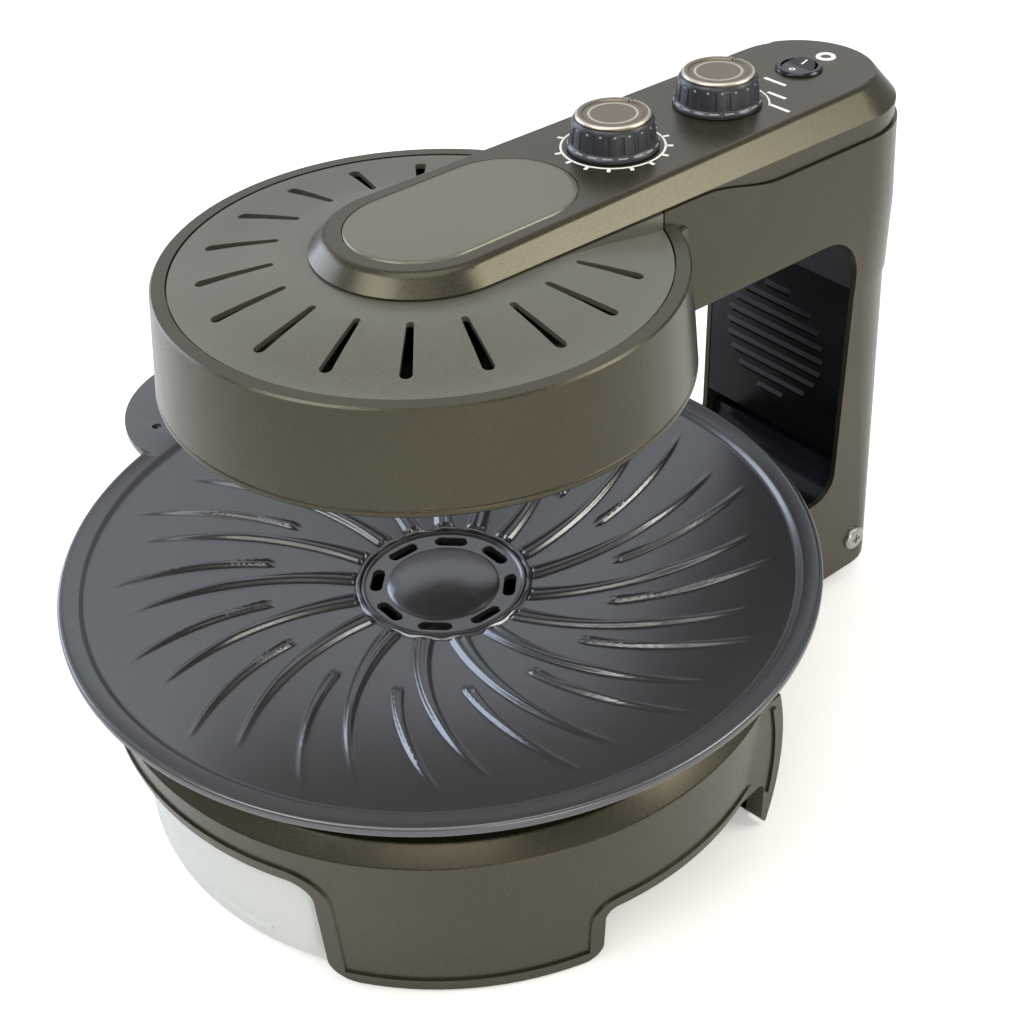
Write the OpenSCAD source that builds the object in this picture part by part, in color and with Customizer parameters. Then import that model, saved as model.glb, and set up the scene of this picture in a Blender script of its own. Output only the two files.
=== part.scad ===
// Electric indoor grill: a round ribbed pan on a round base, under an infrared
// heating head that hangs from a hollow C-shaped frame. The frame tilts back on
// two pins low at the rear. Millimetres, +Z up, the table is Z = 0, the front is -Y.

/* [Pan] */
// Radius of the pan over its rim
pan_r = 180; // [160:1:200]
// Height of the top of the pan's rim above the table
pan_rim_z = 126.5; // [120:0.5:150]
// Height of the rolled rim
rim_h = 4.5; // [3:0.5:8]
// Width of the flat flange inside the rim
flange_w = 9; // [5:0.5:14]
// Slope of the cooking floor towards the hub, mm per mm
floor_slope = 0.147; // [0.05:0.001:0.18]
// Thickness of the cast pan
pan_t = 3; // [2:0.5:5]
// Radius of the drain cap in the hub
cap_r = 40; // [34:0.5:46]
// Number of long ribs, and of short ribs between them
rib_count = 17; // [10:1:20]
// Width of a rib at its root
rib_w = 5; // [2.5:0.1:6]
// Height of a rib over the floor
rib_h = 1.8; // [1:0.1:3]
// Angle that a long rib sweeps round the hub
rib_sweep = 18; // [0:1:30]
// Radius of the handle ear
ear_r = 66; // [50:1:70]
// How far the ear stands out past the rim
ear_out = 56; // [40:1:60]

/* [Base] */
// Radius of the skirt at its lower edge
skirt_foot_r = 160; // [150:1:170]
// Radius of the skirt at its shoulder
skirt_top_r = 164.3; // [155:0.1:172]
// Height of the shoulder's lower edge
shoulder_z = 85.5; // [78:0.5:95]
// Rise of the sloping shoulder
shoulder_rise = 7; // [4:0.5:12]
// Wall of the moulded shells
shell_t = 3; // [2:0.5:4]
// Half width of the front arch that the tray fills
arch_half_w = 83.4; // [70:0.1:95]
// Height of the front arch
arch_z = 64; // [50:1:70]
// Height of the side arches
side_arch_z = 33; // [20:1:45]
// Direction of a side arch, from the front
side_arch_dir = 96.5; // [85:0.5:105]
// Half width of a side arch
side_arch_half_w = 54.6; // [35:0.1:65]

/* [Oil tray] */
// Radius of the tray's curved front
tray_front_r = 155; // [145:1:157]
// Height of the tray's underside above the table
tray_z = 5; // [4:0.5:12]
// Wall of the tray
tray_t = 2.4; // [1.6:0.2:3]
// How far the tray's back lies behind the pan's axis
tray_back_y = 38; // [28:1:60]

/* [Head] */
// Radius of the head at its top edge
head_top_r = 113.7; // [100:0.1:125]
// Radius of the head at its lower edge
head_foot_r = 118.2; // [104:0.1:130]
// Clear height between the pan's rim and the head
head_gap = 105; // [80:1:140]
// Height of the head's wall, with its lower ring
head_h = 47; // [40:1:70]
// Width of the flat rim round the head's slotted cover
head_rim_w = 6.5; // [4:0.5:10]
// Angle between the slots of that cover
slot_pitch = 19.6; // [16:0.1:20]
// Rise of the cover's dome over its flat edge
dome_rise = 7; // [3:0.1:7]

/* [Arm] */
// Height of the arm's top face above the head's top edge, at the timer knob
arm_rise = 18.1; // [18:0.1:30]
// Slope of that face, which rises a little to the rear
top_tilt = 0.87; // [0:0.01:1]
// Width of the arm's flat top face
arm_face_w = 76; // [70:1:90]
// Width of the sloping band round the top face, in plan
arm_band_w = 9; // [5:0.5:12]
// Drop of that sloping band
arm_band_h = 10; // [6:0.5:12]
// Width of the arm's body and of the column
column_w = 102; // [98:1:115]
// Front of the column, behind the pan's axis
column_front_y = 229; // [215:1:260]
// Depth of the column
column_depth = 56; // [52:1:60]
// Height of the seam between the arm and the column
column_seam_z = 198; // [190:1:205]

/* [Hinge] */
// Pivot of the frame, ahead of the back of the column's foot
pivot_inset = 17; // [16:0.5:20]
// Height of the pivot above the table
pivot_z = 29; // [26:0.5:32]
// Radius of the hinge pins
hinge_pin_r = 5; // [4:0.5:6]

/* [Controls] */
// Distance of the timer knob behind the pan's axis
timer_y = 110; // [100:1:118]
// Distance of the level knob behind the pan's axis
level_y = 176.5; // [165:0.5:185]
// Distance of the power switch behind the pan's axis
switch_y = 233; // [222:1:236]
// Radius of the knobs at their foot
knob_r = 21; // [18:0.5:23]
// Height of the knobs
knob_h = 15.5; // [12:0.5:24]

/* [Fits] */
// Gap between parts of different bodies
gap = 0.5; // [0.3:0.1:1]
// Radial clearance of a turning pin or shaft
run_gap = 0.05; // [0.02:0.01:0.1]

/* [Hidden] */
$fn = 96;
e = 0.01;
big = 400;

// Heights that follow from the sizes above
head_z = pan_rim_z + head_gap;
head_top_z = head_z + head_h;
arm_top_z = head_top_z + arm_rise;
band_z = arm_top_z - arm_band_h;
seam_front_z = band_z - 1;
seam_back_z = band_z - 9.5;
shoulder_top_z = shoulder_z + shoulder_rise;

// Plan of the arm
face_half = arm_face_w / 2;
band_half = face_half + arm_band_w;
column_half = column_w / 2;
column_back_y = column_front_y + column_depth;
back_mid_y = column_back_y - column_half;
foot_back_y = column_back_y - 15;
pivot_y = foot_back_y - pivot_inset;
low_half = column_half - 1;
low_front_y = column_front_y + 1;
cheek_front_y = 172;
cheek_top_z = 70;
cheek_foot_z = 10;

// Pan floor
floor_in_r = cap_r + 3;
floor_out_r = pan_r - flange_w - 3;
flange_z = pan_rim_z - 1;
floor_out_z = flange_z - 2.5;
function floor_z(r) = floor_out_z - floor_slope * (floor_out_r - r);
hub_z = floor_z(floor_in_r);
pan_seat_r = 150;
pan_seat_z = floor_z(pan_seat_r) - pan_t - 2;

// The ear decides where the middle of the whole object lies
ear_x = -(pan_r + ear_out - ear_r);
axis_x = ear_out / 2;
axis_y = (pan_r - column_back_y) / 2;

// Base levels
foot_gap = 1;
ledge_z = 3;
ledge_t = 3;
floor_plate_z = arch_z + 1;
floor_plate_t = 2.5;
tail_half = low_half - shell_t - 1.5;

// Places every part, modelled about the pan's axis, so that the origin is the
// middle of the object's footprint on the table.
module place() {
    translate([axis_x, axis_y, 0]) children();
}

function arc(cx, cy, r, a0, a1, n) = [for (i = [0 : n]) let (a = a0 + (a1 - a0) * i / n)
    [cx + r * cos(a), cy + r * sin(a)]];

// Turns a drawing in (radial, height) that faces -Y to a direction from the front
module facing(deg) {
    rotate([0, 0, deg]) children();
}

// A YZ drawing, given as (y, z), as a plate across X
module across(half) {
    translate([-half, 0, 0]) rotate([90, 0, 90]) linear_extrude(2 * half) children();
}

// ---------------------------------------------------------------- base

// Opening with round top corners, and with the foot corners beside it rounded
module arch_outline(half, top, corner, foot_r, grow) {
    r = corner + grow;
    foot = foot_r - grow;
    w = half + grow;
    h = top + grow;
    translate([-w, -20]) square([2 * w, h - r + 20]);
    translate([r - w, h - r - 1]) square([2 * (w - r), r + 1]);
    for (s = [-1, 1]) {
        translate([s * (w - r), h - r]) circle(r);
        difference() {
            translate([s > 0 ? w - 1 : -w - foot, -20]) square([foot + 1, 20 + foot_gap + foot]);
            translate([s * (w + foot), foot_gap + foot]) circle(foot);
        }
    }
}

module arch_cut(half, top, corner, foot_r, grow, deg) {
    facing(deg) translate([0, -100, 0]) rotate([90, 0, 0]) linear_extrude(100)
        arch_outline(half, top, corner, foot_r, grow);
}

tail_arch_half = tail_half + 2;
tail_arch_z = 75;

module all_arches(grow) {
    arch_cut(arch_half_w, arch_z, 11, 12, grow, 0);
    arch_cut(side_arch_half_w, side_arch_z, 6, 9, grow, side_arch_dir);
    arch_cut(side_arch_half_w, side_arch_z, 6, 9, grow, -side_arch_dir);
    arch_cut(tail_arch_half, tail_arch_z, 11, 12, grow, 180);
}

// Radius of the skirt's outer face at a height
function skirt_r(z) = skirt_foot_r + (skirt_top_r - skirt_foot_r) * z / shoulder_z;

module skirt_section() {
    lip_r = skirt_top_r - 7;
    polygon([[skirt_r(foot_gap) - shell_t, foot_gap],
        [skirt_r(foot_gap), foot_gap],
        [skirt_r(shoulder_z - 0.8), shoulder_z - 0.8],
        [skirt_top_r - 0.6, shoulder_z],
        [lip_r, shoulder_top_z - 0.6],
        [lip_r - 1, shoulder_top_z],
        [lip_r - 5, shoulder_top_z],
        [lip_r - 5, shoulder_top_z - shell_t],
        [lip_r - 1.2, shoulder_top_z - shell_t],
        [skirt_top_r - shell_t - 0.4, shoulder_z - shell_t + 1.2],
        [skirt_r(ledge_z + ledge_t) - shell_t, ledge_z + ledge_t],
        [skirt_r(ledge_z) - 14, ledge_z + ledge_t],
        [skirt_r(ledge_z) - 14, ledge_z],
        [skirt_r(ledge_z) - shell_t, ledge_z]]);
}

// Raised line that runs parallel to the skirt's edge, over feet and arches
module skirt_bead() {
    edge = 5;
    line_w = 2.6;
    proud = 1.1;
    difference() {
        rotate_extrude() polygon([[skirt_r(0) - 1, 0], [skirt_r(0) + proud, 0],
            [skirt_r(shoulder_z - 6) + proud, shoulder_z - 6], [skirt_r(shoulder_z - 6) - 1, shoulder_z - 6]]);
        difference() {
            translate([0, 0, big / 2 + foot_gap + edge + line_w]) cube([big, big, big], center = true);
            all_arches(edge + line_w);
        }
        translate([0, 0, foot_gap + edge - big / 2]) cube([big, big, big], center = true);
        all_arches(edge);
    }
}

// Lobe behind a side arch: the skirt goes on as a flat wall with a bowed rear edge
wing_dir = 98;
wing_r = skirt_foot_r - 1.6;
wing_back_y = 84.7;
wing_bow_r = 122;

// Level plan of the lobe between two lines along its flat wall
module wing_plan(inner, outer) {
    function at(r, y) = [(r + y * cos(wing_dir)) / sin(wing_dir), y];
    polygon([at(outer, 22), at(outer, wing_back_y + 1), at(inner, wing_back_y + 1), at(inner, 22)]);
}

function wing_edge(back) = arc(wing_back_y - wing_bow_r, 48, wing_bow_r - back, -24, 19, 12);

// Lobe with a raised line along its bowed edge
module wings() {
    for (s = [0, 1]) mirror([s, 0, 0]) {
        difference() {
            intersection() {
                translate([0, 0, foot_gap]) linear_extrude(shoulder_z - foot_gap - 1) wing_plan(wing_r - 13, wing_r);
                across(200) polygon(concat([[10, -10]], wing_edge(0), [[10, 100]]));
            }
            cylinder(h = shoulder_z, r1 = skirt_r(0) - 1.2, r2 = skirt_r(shoulder_z) - 1.2);
        }
        intersection() {
            translate([0, 0, 24]) linear_extrude(shoulder_z - 30) wing_plan(wing_r - 1, wing_r + 1.1);
            across(200) polygon(concat(wing_edge(5), [for (i = [12 : -1 : 0]) wing_edge(7.6)[i]]));
        }
    }
}

module base_shell() {
    color([0.26, 0.25, 0.2]) {
        difference() {
            union() {
                rotate_extrude() skirt_section();
                wings();
                for (a = [35, 145, 215, 325]) facing(a) screw_post();
            }
            all_arches(0);
        }
        skirt_bead();
    }
}

post_r = 156;
post_hole_r = 1.6;

// Post inside the skirt that a floor screw holds to
module screw_post() {
    difference() {
        translate([0, -post_r, floor_plate_z + floor_plate_t]) union() {
            cylinder(h = shoulder_top_z - shell_t - floor_plate_z - floor_plate_t + e, r = 4);
            translate([-1.2, -5, 0]) cube([2.4, 5, 14]);
        }
        translate([0, -post_r, floor_plate_z]) cylinder(h = 16, r = post_hole_r, $fn = 24);
    }
}

module base_floor() {
    r = skirt_r(floor_plate_z) - shell_t - 0.4;
    color([0.1, 0.1, 0.11]) difference() {
        translate([0, 0, floor_plate_z]) cylinder(h = floor_plate_t, r = r);
        translate([0, 0, floor_plate_z - 1]) cylinder(h = 5, r = spout_r + 0.2);
        for (a = [35, 145, 215, 325]) facing(a) translate([0, -post_r, floor_plate_z - 1])
            cylinder(h = 5, r = 2, $fn = 24);
        translate([-tail_arch_half - 1, tail_in_y + shell_t, floor_plate_z - 1]) cube([2 * tail_arch_half + 2, 60, 5]);
    }
}

module floor_screws() {
    color([0.6, 0.6, 0.62]) for (a = [35, 145, 215, 325]) facing(a) translate([0, -post_r, 0]) difference() {
        union() {
            translate([0, 0, floor_plate_z - 2]) cylinder(h = 2, r = 3.4, $fn = 32);
            translate([0, 0, floor_plate_z - 0.5]) cylinder(h = 13, r = post_hole_r - 0.05, $fn = 24);
        }
        translate([0, 0, floor_plate_z - 2.5]) cylinder(h = 1.6, r = 1.6, $fn = 6);
    }
}

spout_r = 17;
bowl_floor_z = floor_plate_z + floor_plate_t + 4;

// Enamelled heat bowl: its flat rim carries the pan, its floor falls to the drain
module base_bowl() {
    t = 1.5;
    rim_in = pan_seat_r - 5;
    wall_r = pan_seat_r + 1;
    color([0.08, 0.08, 0.09]) difference() {
        rotate_extrude() polygon([[spout_r + 5, bowl_floor_z - t], [wall_r - 8, bowl_floor_z + 4 - t],
            [wall_r, bowl_floor_z + 12], [wall_r, pan_seat_z - t], [wall_r + 4, pan_seat_z - t],
            [wall_r + 4, pan_seat_z], [rim_in, pan_seat_z], [rim_in, pan_seat_z - t],
            [wall_r - t, pan_seat_z - t], [wall_r - t, bowl_floor_z + 12.5],
            [wall_r - 8.5, bowl_floor_z + 4], [spout_r + 5, bowl_floor_z]]);
    }
    color([0.08, 0.08, 0.09]) for (a = [20 : 60 : 340]) facing(a) translate([-6, -wall_r - 4, shoulder_top_z])
        cube([12, 4.5, 3]);
    color([0.08, 0.08, 0.09]) for (a = [35, 145, 215, 325]) facing(a) translate([0, -wall_r + 24, 0])
        translate([0, 0, floor_plate_z + floor_plate_t]) cylinder(h = bowl_floor_z + 2.6 - floor_plate_z - floor_plate_t, r = 4, $fn = 32);
}

// Spout that leads the fat from the bowl into the tray
module drain_funnel() {
    color([0.55, 0.55, 0.56]) rotate_extrude() polygon([[spout_r - 1.5, floor_plate_z - 6],
        [spout_r, floor_plate_z - 6], [spout_r, bowl_floor_z + 0.2], [spout_r + 12, bowl_floor_z + 0.4],
        [spout_r + 12, bowl_floor_z + 1.2], [spout_r, bowl_floor_z + 1], [spout_r - 1.5, bowl_floor_z - 1]]);
}

rail_in = 75;
rail_out = 81;
tray_top_z = arch_z - 7;
rail_z = tray_top_z - 5;

// Pair of runners under the floor that the tray's side flanges slide on
module tray_rails() {
    len = 150;
    color([0.1, 0.1, 0.11]) for (s = [0, 1]) mirror([s, 0, 0])
        translate([0, tray_back_y + 8, 0]) rotate([90, 0, 0]) linear_extrude(len)
            polygon([[rail_in + 0.6, rail_z - 2.5], [rail_out + 2, rail_z - 2.5],
                [rail_out + 2, floor_plate_z - 2], [rail_out + 8, floor_plate_z - 2],
                [rail_out + 8, floor_plate_z], [rail_out, floor_plate_z],
                [rail_out, rail_z], [rail_in + 0.6, rail_z]]);
}

// Six pads: four curved ones under the skirt's feet and two under the tail
module rubber_feet() {
    r = skirt_r(ledge_z) - shell_t - 1;
    color([0.05, 0.05, 0.05]) {
        for (a = [[42, 24], [126, 22], [212, 22], [294, 24]]) rotate([0, 0, a[0] - 90])
            rotate_extrude(angle = a[1]) translate([r - 9, 0]) square([9, ledge_z]);
        for (s = [-1, 1]) translate([s * tail_post_x, tail_post_y, 0]) cylinder(h = ledge_z, r = 8);
    }
}

tail_in_y = 128;
tail_post_x = 30;
tail_post_y = 212;
barrel_r = 12;
cove_z = 85;
cove_r = 18;

// Side view of the rear bracket: level under the pan, then up in a cove below the column's front
function tail_side(g) = concat(
    [[tail_in_y + g, 12 - (g > 0 ? 20 : 0)], [tail_in_y + g, floor_plate_z - g]],
    arc(column_front_y + 7 - cove_r, floor_plate_z + cove_r, cove_r + g, -90, -8, 8),
    [[column_front_y + 7 + g, cove_z - g], [column_front_y + 14 - g, cove_z - g],
        [column_front_y + 15 - g, pivot_z + 30 - g],
        [column_front_y + 7 - g, pivot_z + 15 - g], [column_front_y + 3 - g, 12 - (g > 0 ? 20 : 0)]]);

// Rear bracket of the base: a glossy bridge from the base to the column, and the hinge
// barrel on a neck that the frame's back wall swings round
module base_tail() {
    color([0.07, 0.08, 0.1]) difference() {
        union() {
            difference() {
                across(tail_half) polygon(tail_side(0));
                across(tail_half - shell_t) polygon(tail_side(shell_t));
            }
            difference() {
                union() {
                    across(tail_half) polygon([[column_front_y, pivot_z - 5], [pivot_y - 8, pivot_z - 5],
                        [pivot_y - 6, pivot_z + 10], [column_front_y, pivot_z + 18]]);
                    translate([-tail_half, pivot_y, pivot_z]) rotate([0, 90, 0]) cylinder(h = 2 * tail_half, r = barrel_r);
                }
                across(tail_half - 24) polygon([[column_front_y - 8, -1], [column_back_y, -1],
                    [column_back_y, pivot_z + 30], [column_front_y - 8, pivot_z + 30]]);
            }
            for (s = [-1, 1]) translate([s * tail_post_x, tail_post_y, ledge_z]) cylinder(h = floor_plate_z - ledge_z - 1, r = 8);
            for (s = [-1, 1]) translate([s * tail_post_x - 4, tail_in_y, 40]) cube([8, 12, floor_plate_z - 40]);
        }
        translate([-tail_half - 1, pivot_y, pivot_z]) rotate([0, 90, 0]) cylinder(h = 2 * tail_half + 2, r = bush_r);
    }
}

bush_r = hinge_pin_r + 3;
bush_len = 20;

module hinge_bushes() {
    color([0.75, 0.6, 0.3]) for (s = [0, 1]) mirror([s, 0, 0])
        translate([tail_half - bush_len, pivot_y, pivot_z]) rotate([0, 90, 0]) difference() {
            cylinder(h = bush_len, r = bush_r);
            translate([0, 0, -1]) cylinder(h = bush_len + 2, r = hinge_pin_r + run_gap);
        }
}

// ---------------------------------------------------------------- pan

// Outline of one rib as seen from above: it starts along the radius and sweeps
// forward round the hub, widest at its root and running out to nothing
function rib_mid(r0, r1, sweep, t) = let (r = r0 + (r1 - r0) * t, a = sweep * pow(t, 1.15))
    [r * cos(a), r * sin(a)];
function rib_dir(r0, r1, sweep, t) = let (d = rib_mid(r0, r1, sweep, t + 0.02) - rib_mid(r0, r1, sweep, t - 0.02 * (t > 0 ? 1 : 0)))
    d / norm(d);
function rib_side(r0, r1, sweep, w0, w1, s, n) = [for (i = [0 : n]) let (t = i / n,
    w = (w0 + (w1 - w0) * t) / 2, d = rib_dir(r0, r1, sweep, t))
    rib_mid(r0, r1, sweep, t) + s * w * [-d[1], d[0]]];
module rib(r0, r1, sweep, w0, w1) {
    left = rib_side(r0, r1, sweep, w0, w1, 1, 6);
    right = rib_side(r0, r1, sweep, w0, w1, -1, 6);
    polygon(concat(left, [for (i = [6 : -1 : 0]) right[i]]));
}

module pan_ribs() {
    step = 360 / rib_count;
    reach = floor_out_r - floor_in_r;
    intersection() {
        translate([0, 0, hub_z - 3]) linear_extrude(30) for (i = [0 : rib_count - 1]) {
            rotate(i * step - 92) rib(floor_in_r + 1, floor_in_r + reach * 0.82, rib_sweep, rib_w, 1.2);
            rotate(i * step - 94) rib(floor_in_r + reach * 0.34, floor_in_r + reach * 0.91, rib_sweep * 0.75, rib_w * 0.6, 1.2);
        }
        rotate_extrude() polygon([[floor_in_r, hub_z - 1], [floor_out_r, floor_out_z - 1],
            [floor_out_r, floor_out_z + rib_h * 0.5], [floor_in_r, hub_z + rib_h]]);
    }
}

recess_r = cap_r + 0.3;
recess_z = hub_z - 4;
drain_r = cap_r - 2.5;

module pan() {
    seat_t = 2;
    color([0.28, 0.28, 0.3]) difference() {
        union() {
            rotate_extrude() polygon([[drain_r, recess_z - pan_t], [recess_r + pan_t, recess_z - pan_t],
                [recess_r + pan_t + 3, hub_z - pan_t],
                [pan_seat_r - 2, floor_z(pan_seat_r - 2) - pan_t], [pan_seat_r - 2, pan_seat_z],
                [pan_seat_r + 2, pan_seat_z], [pan_seat_r + 2, floor_z(pan_seat_r + 2) - pan_t],
                [floor_out_r, floor_out_z - pan_t], [pan_r - 4, pan_rim_z - rim_h],
                [pan_r - 0.5, pan_rim_z - rim_h], [pan_r, pan_rim_z - rim_h + 0.8],
                [pan_r, pan_rim_z - 1], [pan_r - 0.8, pan_rim_z],
                [pan_r - 2.4, pan_rim_z], [pan_r - 3, flange_z],
                [pan_r - flange_w, flange_z], [floor_out_r, floor_out_z],
                [floor_in_r + 2.5, floor_z(floor_in_r + 2.5)], [floor_in_r + 1.5, hub_z + 1.2],
                [recess_r, hub_z + 1.2], [recess_r, recess_z], [drain_r, recess_z]]);
            pan_ribs();
            difference() {
                translate([ear_x, 0, pan_rim_z - rim_h]) cylinder(h = rim_h - 1, r = ear_r);
                translate([0, 0, pan_rim_z - rim_h - 1]) cylinder(h = rim_h + 2, r = pan_r - 3.5);
            }
        }
        for (s = [-1, 1]) translate([-(pan_r + 5), s * (ear_r - 18), pan_rim_z - rim_h - 1])
            cylinder(h = rim_h + 2, r = 2.5, $fn = 32);
    }
}

// Domed cap with eight drain slots that sits in the pan's hub
module drain_cap() {
    t = 3;
    slot_mid = cap_r - 7.7;
    dome_r = cap_r - 16;
    color([0.3, 0.3, 0.32]) difference() {
        rotate_extrude() polygon([[0, recess_z], [cap_r, recess_z], [cap_r, recess_z + t + 1.2], [cap_r - 1.2, recess_z + t + 1.6],
            [cap_r - 2.5, recess_z + t + 0.6], [dome_r + 4, recess_z + t],
            [dome_r + 3, recess_z + t + 0.3], [dome_r + 1.6, recess_z + t + 1.6], [dome_r, recess_z + t + 2],
            [dome_r * 0.8, recess_z + t + 3.2], [dome_r * 0.55, recess_z + t + 4.3],
            [dome_r * 0.3, recess_z + t + 5], [0, recess_z + t + 5.3]]);
        for (i = [0 : 7]) rotate([0, 0, i * 45]) translate([0, -slot_mid, recess_z - 1]) linear_extrude(t + 6) {
            square([10.4, 5.8], center = true);
            for (s = [-1, 1]) translate([s * 5.2, 0]) circle(2.9, $fn = 24);
        }
    }
}

// ---------------------------------------------------------------- oil tray

tray_half = rail_in - 1;
tray_panel_half = arch_half_w - 2;
tray_panel_top = arch_z - 4;

module tray_plan(inset) {
    half = tray_half - inset;
    r = 14 - inset;
    back = tray_back_y - inset;
    intersection() {
        circle(tray_front_r - inset, $fn = 192);
        union() {
            translate([-half, -tray_front_r]) square([2 * half, tray_front_r + back - r]);
            translate([r - half, back - r - 1]) square([2 * (half - r), r + 1]);
            for (s = [-1, 1]) translate([s * (half - r), back - r]) circle(r, $fn = 48);
        }
    }
}

// Curved front of the tray, seen from ahead as (x, z)
module tray_panel() {
    r = 9;
    h = tray_panel_top - tray_z;
    intersection() {
        translate([0, -tray_front_r / 2, 0]) rotate([90, 0, 0]) linear_extrude(tray_front_r) translate([0, tray_z]) {
            translate([-tray_panel_half, 0]) square([2 * tray_panel_half, h - r]);
            translate([r - tray_panel_half, 0]) square([2 * (tray_panel_half - r), h]);
            for (s = [-1, 1]) translate([s * (tray_panel_half - r), h - r]) circle(r, $fn = 48);
        }
        translate([0, 0, tray_z]) difference() {
            cylinder(h = h, r = tray_front_r, $fn = 192);
            translate([0, 0, -1]) cylinder(h = h + 2, r = tray_front_r - tray_t, $fn = 192);
        }
    }
}

module oil_tray() {
    wall_h = tray_top_z - tray_z;
    color([0.85, 0.9, 0.9, 0.4]) {
        difference() {
            translate([0, 0, tray_z]) linear_extrude(wall_h) tray_plan(0);
            translate([0, 0, tray_z + tray_t]) linear_extrude(wall_h) tray_plan(tray_t);
        }
        tray_panel();
        for (s = [0, 1]) mirror([s, 0, 0]) translate([tray_half - 0.5, -118, rail_z + 0.4])
            cube([rail_out - tray_half - 0.1, 118 + tray_back_y - 14, 2.2]);
        translate([0, 0, tray_z + 8.5]) rotate([0, 0, -90 + 7]) rotate_extrude(angle = 13)
            translate([tray_front_r - 0.5, 0]) polygon([[0, 0], [2.4, 0.8], [2.4, 1.8], [0, 2.6]]);
    }
}

// ---------------------------------------------------------------- arm and column

module stadium(r, len) {
    circle(r);
    translate([0, len]) circle(r);
    translate([-r, 0]) square([2 * r, len]);
}

// Block with a round front at y0 and a round back, whose sides lean evenly
module leaning_block(z0, z1, r0, r1, y0) {
    for (y = [y0, back_mid_y]) translate([0, y, z0]) cylinder(h = z1 - z0, r1 = r0, r2 = r1);
    translate([0, back_mid_y, z0]) rotate([90, 0, 0]) linear_extrude(back_mid_y - y0)
        polygon([[-r0, 0], [r0, 0], [r1, z1 - z0], [-r1, z1 - z0]]);
}

// The seam under the top cover: level in front, lower beside the controls
seam_y0 = 120;
seam_y1 = 172;
function seam_line() = [for (i = [0 : 12]) let (t = i / 12)
    [seam_y0 + (seam_y1 - seam_y0) * t, seam_front_z + (seam_back_z - seam_front_z) * (1 - cos(180 * t)) / 2]];

window_r = 25;

// Side view of the upper shell, from inside the head to the column seam
module arm_side(lift) {
    polygon(concat([[60, head_z], [column_front_y - window_r, head_z]],
        arc(column_front_y - window_r, head_z - window_r, window_r, 90, 0, 10),
        [[column_front_y, column_seam_z], [column_back_y + 5, column_seam_z],
            [column_back_y + 5, seam_back_z + lift]],
        [for (i = [12 : -1 : 0]) seam_line()[i] + [0, lift]],
        [[60, seam_front_z + lift]]));
}

lean_z = head_z + 4;
arm_top_half = band_half + 1;

// The arm and the upper column as one block, or, with an inset, the hollow in it
module arm_form(inset) {
    leaning_block(column_seam_z - (inset > 0 ? 1 : 0), lean_z + e, column_half - inset, column_half - inset, 60);
    leaning_block(lean_z, band_z, column_half - inset, arm_top_half - inset, 60);
}

module arm_block() {
    intersection() {
        across(column_half + 5) arm_side(0);
        arm_form(0);
    }
}

// Fillets in plan where the arm's sides meet the round head
module root_fillets() {
    f = 14;
    r = head_top_r - 1.5;
    cx = column_half + f;
    cy = sqrt((r + f) * (r + f) - cx * cx);
    translate([0, 0, head_z]) linear_extrude(head_h - 3) for (s = [-1, 1]) difference() {
        polygon([[s * (column_half - 2), cy], [s * cx, cy], [s * cx * r / (r + f), cy * r / (r + f)],
            [s * (column_half - 2), cy * r / (r + f) - 8]]);
        translate([s * cx, cy]) circle(f);
    }
}

ring_h = 3.6;
opening_r = head_top_r - head_rim_w;
cover_r = opening_r - 0.7;
cover_t = 2.5;
cover_low = 0.4;

module head_inside(t) {
    ledge_z = head_top_z - cover_low - cover_t;
    rotate_extrude() polygon([[0, head_z - 10], [head_foot_r - t + 0.9, head_z - 10], [head_foot_r - t, head_z],
        [head_top_r - t, ledge_z - 2], [opening_r - 4, ledge_z - 2], [opening_r - 4, ledge_z],
        [opening_r, ledge_z], [opening_r, head_top_z + 12], [0, head_top_z + 12]]);
}

screw_spots = [[38, 138], [38, 199]];

// One moulding: the head's wall, the arm's sides and back, and the top of the column
module arm_shell() {
    color([0.3, 0.28, 0.22]) {
        difference() {
            union() {
                rotate_extrude() polygon([[0, head_z + ring_h], [head_foot_r - ring_h * 0.09, head_z + ring_h],
                    [head_top_r + 0.1, head_top_z - 0.8], [head_top_r - 0.8, head_top_z],
                    [0, head_top_z]]);
                difference() {
                    union() {
                        arm_block();
                        root_fillets();
                    }
                    translate([0, 0, head_z - 1]) cylinder(h = ring_h + 1, r = head_foot_r + 0.3);
                }
            }
            head_inside(shell_t);
            arm_form(shell_t);
        }
        for (s = [0, 1]) mirror([s, 0, 0]) for (p = screw_spots) translate([p[0], p[1], under_top_z]) difference() {
            union() {
                cylinder(h = 12, r = 4);
                translate([0, -1, 2]) cube([column_half - shell_t - p[0] + 0.5, 2, 10]);
            }
            translate([0, 0, -1]) cylinder(h = 11, r = 1.5, $fn = 24);
        }
    }
}

under_z = head_z + 0.4;
under_t = 2.5;
under_top_z = under_z + under_t;

// Lower column: two cheeks joined by a back wall, round at the seam with the arm
// and squarer towards the hinge
module column_plan(inset, half, back, corner_r) {
    r = corner_r - inset;
    hull() {
        for (s = [-1, 1]) translate([s * (half - corner_r), back - corner_r]) circle(r);
        translate([inset - half, low_front_y - inset]) square([2 * (half - inset), 2]);
    }
}

module column_loft(inset) {
    hull() {
        translate([0, 0, column_seam_z + (inset > 0 ? 1 : 0)]) linear_extrude(e)
            column_plan(inset, low_half, column_back_y - 1, low_half - 0.1);
        translate([0, 0, cheek_foot_z - 2]) linear_extrude(e)
            column_plan(inset, low_half, foot_back_y, 10);
    }
}

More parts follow.
